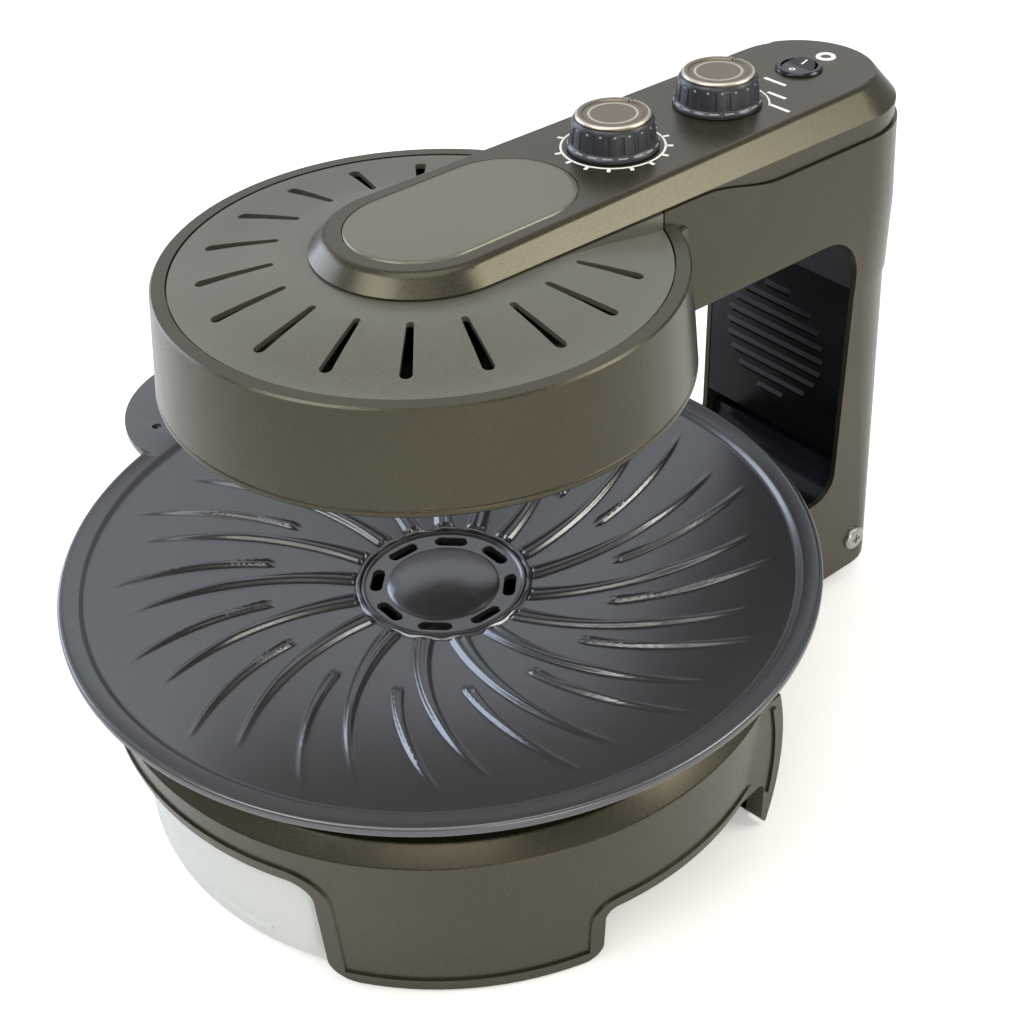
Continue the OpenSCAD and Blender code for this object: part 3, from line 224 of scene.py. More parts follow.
def ringed_disc(name, node):
    """Anodised disc of a knob's cap, with a polished line near its rim and one half way in."""
    material, tree, shader = new_material(name, **{"Metallic": 1.0})
    place = add_node(tree, "ShaderNodeTexCoord").outputs["Object"]
    level = {0: place, 1: (1.0, 1.0, 0.0)}
    flat = add_node(tree, "ShaderNodeVectorMath", level, operation="MULTIPLY").outputs[0]
    hub = middle(node)
    ends = {0: flat, 1: (hub.x, hub.y, 0.0)}
    reach = add_node(tree, "ShaderNodeVectorMath", ends, operation="DISTANCE").outputs["Value"]
    lines = []
    for radius, half_width in ((10.9, 0.45), (16.4, 0.5)):
        near = maths(tree, "ABSOLUTE", maths(tree, "SUBTRACT", reach, radius * MM))
        lines.append(spread(tree, near, half_width * MM, (half_width + 0.25) * MM, 1.0, 0.0))
    line = maths(tree, "MAXIMUM", *lines)
    tint(tree, shader, line, srgb("#857c6d"), srgb("#d6d0c3"))
    tree.links.new(spread(tree, line, 0.0, 1.0, 0.32, 0.42), shader.inputs["Roughness"])
    tree.links.new(bump(tree, object_noise(tree, 1.0, 2.0), 0.002), shader.inputs["Normal"])
    return material


def pan_coating():
    """Non-stick coat on cast aluminium: blue-grey, semi-gloss, with a fine pale fleck in it."""
    values = {"IOR": 1.45, "Metallic": 0.8, "Specular IOR Level": 0.8}
    material, tree, shader = new_material("non-stick coated casting", **values)
    flecks = spread(tree, object_noise(tree, 0.8, 1.0), 0.55, 0.72, 0.0, 1.0)
    tint(tree, shader, flecks, srgb("#636568"), srgb("#6a6c6f"))
    uneven(tree, shader, object_noise(tree, 3.0, 3.0, 0.6), 0.22, 0.27, 0.008)
    return material


def clear_tray():
    """Clear moulded polystyrene: nearly colourless, with a soft haze on its inner face."""
    material, tree, shader = new_material(
        "clear polystyrene",
        **{"Base Color": srgb("#f6faf8"), "IOR": 1.3, "Transmission Weight": 0.3, "Alpha": 0.75},
    )
    haze = object_noise(tree, 18.0, 2.0)
    tree.links.new(spread(tree, haze, 0.3, 0.7, 0.06, 0.2), shader.inputs["Roughness"])
    return material


def make_materials():
    """Every finish by the name of the slot it belongs to."""
    return {
        "bronze_paint": metallic_paint("satin bronze paint", "#383527", "#4a4635", 0.65, 0.3),
        "grey_paint": metallic_paint("satin grey paint", "#5f5e55", "#77766b", 0.5, 0.36),
        "black_plastic": moulded_plastic("matt black ABS", "#15171c", 0.5),
        "gloss_black": moulded_plastic("gloss black ABS", "#14171d", 0.16, 2.0, 0.004),
        # Black moulding of the louvres, made darker than the other black ABS as painted shade on the slats'
        # sloping faces, so that only their rounded lips catch light
        "louvre_black_painted_shade": moulded_plastic("satin black ABS of the louvres, darkened as painted shade", "#07080b", 0.18, 1.0, 0.003, 0.4),
        "black_enamel": moulded_plastic("black enamel", "#0d0d0e", 0.3, 3.0, 0.01),
        "steel": turned_metal("bare steel", "#b4b4b2", 0.32),
        "aluminium": turned_metal("polished aluminium", "#c9c9c6", 0.2),
        "brass": turned_metal("sintered bronze", "#a98a4e", 0.4),
        "cast_pan": pan_coating(),
        "clear_plastic": clear_tray(),
        "satin_plate": metallic_paint("satin anodised plate", "#6a675a", "#7b7768", 0.6, 0.34),
        "quartz": turned_metal("quartz tube", "#c98f63", 0.1, 0.0),
        "ceramic": moulded_plastic("white ceramic", "#dcd8cc", 0.35),
        "rubber": moulded_plastic("black rubber", "#0b0b0b", 0.75),
        "board": moulded_plastic("circuit board", "#1c4a33", 0.4),
        "white_plastic": moulded_plastic("white moulding", "#eceae4", 0.3, 1.0, 0.003),
        "lens": moulded_plastic("dark lens", "#2a0f0d", 0.12, 3.0, 0.002),
        "timer_disc": ringed_disc("anodised timer disc", "timer_cap"),
        "level_disc": ringed_disc("anodised level disc", "level_cap"),
        "print": moulded_plastic("white print", "#f2f1ec", 0.55, 1.0, 0.002),
        # Pale dots on the grips, and painted highlights: the pale dashes round each knob's foot stand for
        # light caught on its rim
        "pale_dots_and_painted_highlight": moulded_plastic("pale dots and painted highlights on the knobs", "#8f9294", 0.5, 1.0, 0.002),
        "knob_plastic": moulded_plastic("blue-black knob moulding", "#2b2e35", 0.34, 1.2, 0.01),
    }


FINISH = {}


# ------------------------------------------------------------------ mesh helpers


def new_piece(name, mesh_or_bm, finish, body, replaces=()):
    """Puts a finished mesh in the scene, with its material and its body."""
    if isinstance(mesh_or_bm, bmesh.types.BMesh):
        mesh = bpy.data.meshes.new(name)
        mesh_or_bm.to_mesh(mesh)
        mesh_or_bm.free()
    else:
        mesh = mesh_or_bm
    mesh.materials.clear()
    mesh.materials.append(FINISH[finish])
    piece = bpy.data.objects.new(name, mesh)
    bpy.context.scene.collection.objects.link(piece)
    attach(piece, body)
    if replaces:
        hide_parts(*replaces)
    return piece


def smooth(mesh, degrees=35.0):
    """Smooth shading that keeps edges sharper than the angle."""
    mesh.polygons.foreach_set("use_smooth", [True] * len(mesh.polygons))
    mesh.set_sharp_from_angle(angle=math.radians(degrees))


def merged_copy(node):
    """A CAD node's mesh as a bmesh, its doubles merged and its flat faces joined."""
    bm = bmesh.new()
    bm.from_mesh(NODES[node].data)
    bmesh.ops.remove_doubles(bm, verts=bm.verts, dist=2e-6)
    bmesh.ops.dissolve_degenerate(bm, dist=1e-6, edges=bm.edges)
    bmesh.ops.dissolve_limit(bm, angle_limit=math.radians(0.3), verts=bm.verts, edges=bm.edges)
    return bm


class Rounding(NamedTuple):
    """One pass over a piece's sharp edges."""

    width_mm: float
    segments: int
    where: object = None  # a test of an edge's middle, or None to take every sharp edge
    clamp: bool = True  # narrows the pass where it would run into another edge


def round_edges(bm, rounding):
    """Rounds the sharp edges whose middle passes the test."""
    chosen = [
        edge
        for edge in bm.edges
        if edge.is_manifold
        and edge.calc_face_angle(0.0) > SHARP
        and (rounding.where is None or rounding.where((edge.verts[0].co + edge.verts[1].co) / 2))
    ]
    if chosen:
        bmesh.ops.bevel(
            bm,
            geom=chosen,
            offset=rounding.width_mm * MM,
            offset_type="OFFSET",
            segments=rounding.segments,
            profile=0.5,
            affect="EDGES",
            clamp_overlap=rounding.clamp,
        )


def cut_away(name, bm, tool_bm):
    """The first closed mesh with the second cut out of it."""
    made = []
    for label, part in ((name, bm), (name + "_tool", tool_bm)):
        mesh = bpy.data.meshes.new(label)
        part.to_mesh(mesh)
        part.free()
        made.append(bpy.data.objects.new(label, mesh))
        bpy.context.scene.collection.objects.link(made[-1])
    modifier = made[0].modifiers.new("cut", "BOOLEAN")
    modifier.operation = "DIFFERENCE"
    modifier.solver = "MANIFOLD"
    modifier.object = made[1]
    bpy.context.view_layer.update()
    mesh = bpy.data.meshes.new_from_object(made[0].evaluated_get(bpy.context.evaluated_depsgraph_get()))
    for spare in made:
        bpy.data.objects.remove(spare)
    if not mesh.vertices:
        raise RuntimeError("nothing was left of " + name)
    return mesh


def softened(node, name, finish, body, *roundings, slot=None):
    """A CAD node with its sharp edges rounded, as a moulding's are; the slot argument is not used."""
    bm = merged_copy(node)
    for rounding in roundings:
        round_edges(bm, rounding)
    mesh = bpy.data.meshes.new(name)
    bm.to_mesh(mesh)
    bm.free()
    smooth(mesh)
    piece = new_piece(name, mesh, finish, body, (node,))
    weights = piece.modifiers.new("even shading", "WEIGHTED_NORMAL")
    weights.keep_sharp = True
    return piece


def paint_node(node, finish):
    """Gives a CAD node that is shown as it is its finish."""
    data = NODES[node].data
    data.materials.clear()
    data.materials.append(FINISH[finish])


def turned_line(bm, line, centre, angle):
    """Vertices of a line of (radius, height) in millimetres, turned about an upright axis."""
    co, si = math.cos(angle), math.sin(angle)
    return [bm.verts.new((centre[0] + r * MM * co, centre[1] + r * MM * si, z * MM)) for r, z in line]


def skin(bm, rings, turns):
    """Faces from each closed line of vertices to the next, so many times round."""
    for i in range(turns):
        a, b = rings[i], rings[(i + 1) % len(rings)]
        for j in range(len(a)):
            k = (j + 1) % len(a)
            bm.faces.new((a[j], b[j], b[k], a[k]))


def lathe(bm, profile, steps, centre, start=0.0, sweep=360.0):
    """Turns a closed profile of (radius, height) in millimetres about an upright axis."""
    whole = abs(sweep - 360.0) < 1e-6
    count = steps if whole else steps + 1
    rings = [turned_line(bm, profile, centre, math.radians(start + sweep * i / steps)) for i in range(count)]
    skin(bm, rings, steps)
    if not whole:
        bm.faces.new(rings[0])
        bm.faces.new(list(reversed(rings[-1])))
    bmesh.ops.remove_doubles(bm, verts=bm.verts, dist=1e-7)
    bmesh.ops.recalc_face_normals(bm, faces=bm.faces)


# ------------------------------------------------------------------ Geometry Nodes


def ring_tree(name):
    """A tree that repeats an item on a ring. It has named inputs and ends in a real mesh."""
    tree = bpy.data.node_groups.new(name, "GeometryNodeTree")
    sockets = {}
    for label, socket in (
        ("Item", "NodeSocketObject"),
        ("Count", "NodeSocketInt"),
        ("Radius", "NodeSocketFloat"),
        ("Start", "NodeSocketFloat"),
        ("Step", "NodeSocketFloat"),
        ("Centre", "NodeSocketVector"),
        ("Material", "NodeSocketMaterial"),
    ):
        made = tree.interface.new_socket(name=label, in_out="INPUT", socket_type=socket)
        sockets[label] = made.identifier
    tree.interface.new_socket(name="Geometry", in_out="OUTPUT", socket_type="NodeSocketGeometry")
    given = tree.nodes.new("NodeGroupInput").outputs
    index = add_node(tree, "GeometryNodeInputIndex").outputs[0]
    turned = maths(tree, "MULTIPLY_ADD", index, given["Step"], given["Start"])
    sides = {0: maths(tree, "COSINE", turned), 1: maths(tree, "SINE", turned)}
    arm = {0: add_node(tree, "ShaderNodeCombineXYZ", sides).outputs[0], "Scale": given["Radius"]}
    spoke = add_node(tree, "ShaderNodeVectorMath", arm, operation="SCALE").outputs[0]
    turn = add_node(tree, "ShaderNodeCombineXYZ", {2: turned}).outputs[0]
    ends = {0: spoke, 1: given["Centre"]}
    spot = add_node(tree, "ShaderNodeVectorMath", ends, operation="ADD").outputs[0]
    values = {"Count": given["Count"], "Position": spot}
    points = add_node(tree, "GeometryNodePoints", values).outputs[0]
    item = add_node(tree, "GeometryNodeObjectInfo", {"Object": given["Item"]}).outputs["Geometry"]
    values = {"Points": points, "Instance": item, "Rotation": turn}
    copies = add_node(tree, "GeometryNodeInstanceOnPoints", values).outputs[0]
    real = add_node(tree, "GeometryNodeRealizeInstances", {"Geometry": copies}).outputs[0]
    values = {"Geometry": real, "Material": given["Material"]}
    dressed = add_node(tree, "GeometryNodeSetMaterial", values).outputs[0]
    add_node(tree, "NodeGroupOutput", {"Geometry": dressed})
    return tree, sockets


def repeated(name, item_bm, count, radius, start, step, centre, finish, body):
    """One mesh of an item repeated on a ring by Geometry Nodes, in radians and metres."""
    item_mesh = bpy.data.meshes.new(name + "_item")
    item_bm.to_mesh(item_mesh)
    item_bm.free()
    item = bpy.data.objects.new(name + "_item", item_mesh)
    bpy.context.scene.collection.objects.link(item)
    holder = bpy.data.objects.new(name + "_holder", bpy.data.meshes.new(name + "_holder"))
    bpy.context.scene.collection.objects.link(holder)
    tree, sockets = ring_tree(name + " ring")
    modifier = holder.modifiers.new("ring", "NODES")
    modifier.node_group = tree
    for label, value in (
        ("Item", item),
        ("Count", count),
        ("Radius", radius),
        ("Start", start),
        ("Step", step),
        ("Centre", centre),
        ("Material", FINISH[finish]),
    ):
        modifier[sockets[label]] = value
    bpy.context.view_layer.update()
    mesh = bpy.data.meshes.new_from_object(holder.evaluated_get(bpy.context.evaluated_depsgraph_get()))
    for spare in (holder, item):
        bpy.data.objects.remove(spare)
    if not mesh.vertices:
        raise RuntimeError("the array " + name + " came out empty")
    mesh.name = name
    smooth(mesh)
    return new_piece(name, mesh, finish, body)


def block(bm, low, high):
    """A box between two corners in millimetres."""
    for vert in bmesh.ops.create_cube(bm, size=1.0)["verts"]:
        for axis in range(3):
            vert.co[axis] = (high[axis] if vert.co[axis] > 0 else low[axis]) * MM


# ------------------------------------------------------------------ sizes


class PanSizes(bpy.types.PropertyGroup):
    """Sizes of the pan's relief, in millimetres and degrees."""

    ribs: IntProperty(name="Ribs", description="Long ribs round the hub", default=17, min=8, max=24)
    rib_height: FloatProperty(name="Rib height", description="Height of a rib over the floor", default=2.3)
    long_start: FloatProperty(
        name="Long rib root", description="Radius where a long rib starts", default=43.0
    )
    long_end: FloatProperty(name="Long rib tip", description="Radius where a long rib ends", default=146.0)
    long_sweep: FloatProperty(
        name="Long rib sweep", description="Angle a long rib turns through", default=18.5
    )
    short_start: FloatProperty(
        name="Short rib start", description="Radius where a short rib starts", default=84.0
    )
    short_end: FloatProperty(name="Short rib tip", description="Radius where a short rib ends", default=157.0)
    short_sweep: FloatProperty(
        name="Short rib sweep", description="Angle a short rib turns through", default=13.5
    )
    turn: FloatProperty(
        name="Turn", description="Direction of the first long rib, from the front", default=-2.0
    )
    short_turn: FloatProperty(
        name="Short turn", description="Direction of the first short rib, from the front", default=-4.0
    )


class DialSizes(bpy.types.PropertyGroup):
    """Sizes of the printed dials and the knobs' trim, in millimetres."""

    ring_r: FloatProperty(name="Ring radius", description="Radius of the printed timer ring", default=23.6)
    ring_w: FloatProperty(name="Ring width", description="Width of the printed timer ring", default=1.0)
    tick_count: IntProperty(name="Ticks", description="Ticks round the timer ring", default=15, min=4, max=60)
    tick_step: FloatProperty(name="Tick step", description="Angle between the ticks", default=23.0)
    first_tick: FloatProperty(
        name="First tick", description="Direction of the first tick, from +X", default=-116.0
    )
    tick_length: FloatProperty(name="Tick length", description="Length of a tick", default=3.4)
    tick_w: FloatProperty(name="Tick width", description="Width of a tick", default=1.6)
    dots: IntProperty(name="Dots", description="Pale dots round a knob", default=18, min=6, max=40)


class StageSizes(bpy.types.PropertyGroup):
    """The camera: its place, direction, roll and lens."""

    camera_at: FloatVectorProperty(
        name="Camera",
        description="Camera place from the pan's axis",
        default=(0.5029, -0.3602, 0.6060),
        subtype="TRANSLATION",
    )
    azimuth: FloatProperty(
        name="Azimuth", description="Camera direction, degrees from the front", default=51.193
    )
    elevation: FloatProperty(
        name="Elevation", description="Camera height, degrees above the horizon", default=36.736
    )
    roll: FloatProperty(name="Roll", description="Camera roll in degrees", default=-2.068)
    lens: FloatProperty(name="Lens", description="Focal length in mm on a 36 mm sensor", default=57.6)


# ------------------------------------------------------------------ pan


def ridge(distance, width, edge):
    """Height 0..1 of a ridge with a rounded top, from the distance to its middle line."""
    t = min(max((width + edge - abs(distance)) / edge, 0.0), 1.0)
    return t * t * (3 - 2 * t)


def off_line(angle, line, pitch, radius):
    """Distance in mm to the nearest of the lines that stand a pitch apart, in degrees, round the pan."""
    return math.radians((angle - line + pitch / 2) % pitch - pitch / 2) * radius


def pan_relief(radius, angle, sizes):
    """Height of the ribs over the plain floor at a radius in mm and an angle in degrees from the front."""
    pitch = 360.0 / sizes.ribs
    height = 0.0
    # Long ribs: broad soft folds at the hub that narrow to a line and fade out just past their tip
    over = 1.04
    t = (radius - sizes.long_start) / (sizes.long_end - sizes.long_start)
    if -0.05 < t < over:
        t = max(t, 0.0)
        distance = off_line(angle, sizes.turn + sizes.long_sweep * t**1.12, pitch, radius)
        fade = min(1.0, (over - t) / 0.45)
        width = 1.6 * (1 - t) + 0.25
        edge = 2.6 * max(0.0, 1 - t) ** 1.5 + 1.3
        crease = 0.42 * math.exp(-((distance / (0.75 * width + 0.2)) ** 2)) * max(0.0, 1 - 1.6 * t)
        height += sizes.rib_height * fade * (ridge(distance, width, edge) - crease)
    # Short ribs between them: they start as a blunt fold with two edges
    over = 1.03
    t = (radius - sizes.short_start) / (sizes.short_end - sizes.short_start)
    if -0.02 < t < over:
        t = max(t, 0.0)
        distance = off_line(angle, sizes.short_turn + sizes.short_sweep * t**1.1, pitch, radius)
        rise = min(1.0, t / 0.03 + 0.15)
        fade = min(1.0, (over - t) / 0.5)
        width = 1.5 * (1 - t) ** 2 + 0.3
        edge = 1.3
        crease = 0.55 * math.exp(-((distance / (0.7 * width + 0.1)) ** 2)) * max(0.0, 1 - 2.6 * t)
        height += 0.85 * sizes.rib_height * rise * fade * (ridge(distance, width, edge) - crease)
    return height


def pan_levels():
    """Named radii and heights of the pan in millimetres, worked out from the CAD boxes."""
    rim = RIM_Z / MM
    hub_r = (CAP_HIGH.x - CAP_LOW.x) / 2 / MM
    return {
        "pan_r": PAN_R / MM,
        "rim": rim,
        "flange": rim - 1.0,
        "floor_out_z": rim - 3.5,
        "floor_out_r": PAN_R / MM - 12.0,
        "slope": 0.147,
        "hub_r": hub_r,
        "collar_r": hub_r + 0.3,
        "recess_z": CAP_LOW.z / MM,
        "low": PAN_LOW.z / MM,
    }


def floor_z(lv, radius):
    """Height of the sloping floor at a radius."""
    return lv["floor_out_z"] - lv["slope"] * (lv["floor_out_r"] - radius)


def edge_radius(lv, angle):
    """Outer radius at an angle from the front: the round rim, or the ear on the left."""
    ear_x = (AXIS.x - PAN_LOW.x) / MM - EAR_R
    off = math.radians((angle + 90 + 180) % 360 - 180)
    under = EAR_R**2 - (ear_x * math.sin(off)) ** 2
    if under <= 0 or abs(off) > math.pi / 2:
        return lv["pan_r"]
    return max(lv["pan_r"], ear_x * math.cos(off) + math.sqrt(under))


def collar_line(lv, angle, sizes):
    """Up the drain hole, over the cap's recess and the scalloped collar, as (radius, height)."""
    hub = lv["collar_r"]
    foot = floor_z(lv, hub)
    lift = 1.1 * (0.5 + 0.5 * math.cos(math.radians((angle - sizes.turn) * sizes.ribs))) * 0.5
    return [
        (lv["hub_r"] - 2.5, lv["low"]),
        (lv["hub_r"] - 2.5, lv["recess_z"]),
        (hub, lv["recess_z"]),
        (hub, foot + 1.0),
        (hub + 0.4, foot + 1.5 + lift),
        (hub + 1.2, foot + 1.6 + lift),
        (hub + 2.0, foot + 1.2 + lift),
        (hub + 2.8, floor_z(lv, hub + 2.8)),
    ]


def rim_line(lv, wide):
    """From the floor over the flange and the rim, which lies wide mm further out and sinks at the ear."""
    out, flange, rim, pan_r = lv["floor_out_r"], lv["flange"], lv["rim"], lv["pan_r"]
    outer = [
        (pan_r - 3.0, flange),
        (pan_r - 2.4, rim - 0.3),
        (pan_r - 1.6, rim),
        (pan_r - 0.7, rim - 0.15),
        (pan_r - 0.1, rim - 0.9),
        (pan_r, rim - 1.8),
        (pan_r, rim - 3.6),
        (pan_r - 0.3, rim - 4.3),
        (pan_r - 1.2, rim - 4.5),
    ]
    flat = min(wide / 6.0, 1.0)
    inner = [(out + 0.8, lv["floor_out_z"] + 0.6), (out + 2.0, flange - 0.6), (out + 3.0, flange)]
    return inner + [(r + wide, z - flat * max(0.0, z - flange)) for r, z in outer]


def under_line(lv, wide):
    """Back in under the flange, round the seat ring and to the drain hole."""
    hub = lv["collar_r"]
    seat_in, seat, seat_out = 148.0, 150.0, 152.0
    return [
        (lv["pan_r"] - 5.0 + 0.9 * wide, lv["rim"] - 4.5),
        (lv["floor_out_r"], lv["floor_out_z"] - 3.4),
        (seat_out, floor_z(lv, seat_out) - 3.0),
        (seat_out, floor_z(lv, seat) - 5.0),
        (seat_in, floor_z(lv, seat) - 5.0),
        (seat_in, floor_z(lv, seat_in) - 3.0),
        (hub + 6.0, floor_z(lv, hub) - 3.0),
        (hub + 3.0, lv["low"]),
    ]


def ear_rods():
    """Two rods that stand where the ear's holes go."""
    rods = bmesh.new()
    for side in (-1, 1):
        x = AXIS.x - (PAN_R / MM + EAR_HOLE_OUT) * MM
        y = AXIS.y + side * (EAR_R - EAR_HOLE_IN) * MM
        bmesh.ops.create_cone(
            rods,
            cap_ends=True,
            segments=32,
            radius1=EAR_HOLE_R * MM,
            radius2=EAR_HOLE_R * MM,
            depth=20 * MM,
            matrix=Matrix.Translation((x, y, RIM_Z)),
        )
    return rods


class GRILL_OT_pan(bpy.types.Operator):
    """Builds the cast pan with its swept ribs, hub ring, rim and ear"""

    bl_idname = "grill.pan"
    bl_label = "Pan"

    def execute(self, context):
        sizes = context.scene.grill_pan
        lv = pan_levels()
        first, last = lv["collar_r"] + 4.0, lv["floor_out_r"]
        stations = [first + (last - first) * i / FLOOR_STEPS for i in range(FLOOR_STEPS + 1)]
        bm = bmesh.new()
        rings = []
        for i in range(PAN_STEPS):
            angle = 360.0 * i / PAN_STEPS
            wide = edge_radius(lv, angle) - lv["pan_r"]
            line = collar_line(lv, angle, sizes)
            line += [(r, floor_z(lv, r) + pan_relief(r, angle, sizes)) for r in stations]
            line += rim_line(lv, wide) + under_line(lv, wide)
            rings.append(turned_line(bm, line, AXIS, math.radians(angle - 90)))
        skin(bm, rings, PAN_STEPS)
        bmesh.ops.recalc_face_normals(bm, faces=bm.faces)
        mesh = cut_away("pan_casting", bm, ear_rods())
        smooth(mesh, 50.0)
        new_piece("pan_casting", mesh, "cast_pan", "pan_set", ("pan",))
        softened("drain_cap", "drain_cap_casting", "cast_pan", "pan_set", Rounding(0.5, 3))
        return {"FINISHED"}


# ------------------------------------------------------------------ base


class GRILL_OT_base(bpy.types.Operator):
    """Finishes the round base, its bowl, its feet and the rear bracket"""

    bl_idname = "grill.base"
    bl_label = "Base"

    def execute(self, context):
        softened("base_shell", "base_skirt", "bronze_paint", "base", Rounding(0.8, 3))
        softened("base_tail", "rear_bracket", "gloss_black", "base", Rounding(0.8, 3))
        softened("base_bowl", "heat_bowl", "black_enamel", "base", Rounding(0.3, 2))
        for node, finish in (
            ("base_floor", "black_plastic"),
            ("drain_funnel", "steel"),
            ("tray_rails", "black_plastic"),
            ("rubber_feet", "rubber"),
            ("hinge_bushes", "brass"),
            ("floor_screws", "steel"),
        ):
            paint_node(node, finish)
        return {"FINISHED"}


class GRILL_OT_tray(bpy.types.Operator):
    """Finishes the clear oil tray"""

    bl_idname = "grill.tray"
    bl_label = "Oil tray"

    def execute(self, context):
        softened("oil_tray", "oil_tray_clear", "clear_plastic", "tray", Rounding(0.6, 2))
        return {"FINISHED"}


# ------------------------------------------------------------------ head, arm and column


class GRILL_OT_shells(bpy.types.Operator):
    """Finishes the painted shells of the head, the arm and the column"""

    bl_idname = "grill.shells"
    bl_label = "Painted shells"

    def execute(self, context):
        face = top_face("timer_knob").inverted()

        def head_rim(point):
            """True on the inner edge of the rim round the head's cover."""
            reach = math.hypot(point.x - AXIS.x, point.y - AXIS.y)
            return abs(point.z - HEAD_TOP) < 0.5 * MM and reach < COVER_R + 2 * MM

        def face_edge(point):
            """True on the rim of the sloping top face, outside the name plate's recess."""
            beside = math.hypot(point.x - AXIS.x, min(0.0, point.y - AXIS.y))
            return abs((face @ point).z) < 0.2 * MM and beside > PLATE_RECESS_R * MM

        softened(
            "arm_shell",
            "arm_moulding",
            "bronze_paint",
            "lid",
            Rounding(1.3, 4, head_rim),
            Rounding(0.7, 2, lambda point: not head_rim(point)),
        )
        softened("column_shell", "column_moulding", "bronze_paint", "lid", Rounding(0.7, 2))
        softened("head_ring", "head_trim_ring", "bronze_paint", "lid", Rounding(0.4, 2))
        softened("head_top_cover", "head_cover", "grey_paint", "lid", Rounding(0.8, 3))
        softened(
            "arm_top_cover",
            "arm_cover",
            "bronze_paint",
            "lid",
            Rounding(2.2, 4, face_edge, clamp=False),
            Rounding(0.4, 2, lambda point: not face_edge(point)),
        )
        plate = softened("name_plate", "bare_plate", "satin_plate", "lid", Rounding(0.2, 1))
        self.slope_plate_edge(plate.data, face)
        softened("arm_under_cover", "under_cover", "black_plastic", "lid", Rounding(0.3, 2))
        panel = Rounding(0.33, 3)
        softened("column_front_panel", "louvre_panel", "louvre_black_painted_shade", "lid", panel, slot="black_plastic")
        return {"FINISHED"}

    def slope_plate_edge(self, mesh, face):
        """Draws the plate's top outline in, so that its edge is a broad chamfer."""
        chamfer, top_band = 1.3 * MM, 0.08 * MM
        low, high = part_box("name_plate")
        radius = (high.x - low.x) / 2
        front, rear = low.y + radius, high.y - radius
        top = max((face @ vert.co).z for vert in mesh.vertices)
        for vert in mesh.vertices:
            if (face @ vert.co).z > top - top_band:
                out = vert.co - Vector((AXIS.x, min(max(vert.co.y, front), rear), vert.co.z))
                vert.co -= out.normalized() * min(chamfer, out.length)


class GRILL_OT_inner(bpy.types.Operator):
    """Finishes what shows through the guard, the louvres and at the hinge"""

    bl_idname = "grill.inner"
    bl_label = "Inner pieces"

    def execute(self, context):
        for node, finish in (
            ("heat_shield", "steel"),
            ("reflector", "aluminium"),
            ("heater_tubes", "quartz"),
            ("tube_holders", "ceramic"),
            ("guard_grille", "steel"),
            ("friction_washers", "steel"),
            ("under_screws", "steel"),
            ("cord_gland", "rubber"),
            ("fan_frame", "black_plastic"),
            ("fan_motor", "steel"),
            ("fan_rotor", "black_plastic"),
            ("timer_unit", "aluminium"),
            ("level_unit", "black_plastic"),
            ("control_board", "board"),
            ("timer_shaft", "steel"),
            ("level_shaft", "steel"),
        ):
            paint_node(node, finish)
        softened("hinge_pins", "pin_heads", "steel", "lid", Rounding(0.25, 2))
        return {"FINISHED"}


# ------------------------------------------------------------------ controls


def flat_ring(bm, inner, outer, low, high, centre, start=0.0, sweep=360.0, steps=96):
    """A flat printed ring or arc, in millimetres and degrees."""
    lathe(bm, [(inner, low), (outer, low), (outer, high), (inner, high)], steps, centre, start, sweep)


def top_face(node):
    """Where a control stands on the arm's sloping top face: axes in metres, +Z out of the face."""
    gap = 0.5 * MM  # between the face and a knob's foot
    lows, highs = zip(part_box("timer_cap"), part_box("level_cap"))
    slope = math.atan2(highs[1].z - highs[0].z, (lows[1].y + highs[1].y - lows[0].y - highs[0].y) / 2)
    low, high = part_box(node)
    foot = low.z + (high.x - low.x) / 2 * math.sin(slope) - gap
    place = Matrix.Translation(((low.x + high.x) / 2, (low.y + high.y) / 2, foot))
    return place @ Matrix.Rotation(slope, 4, "X")


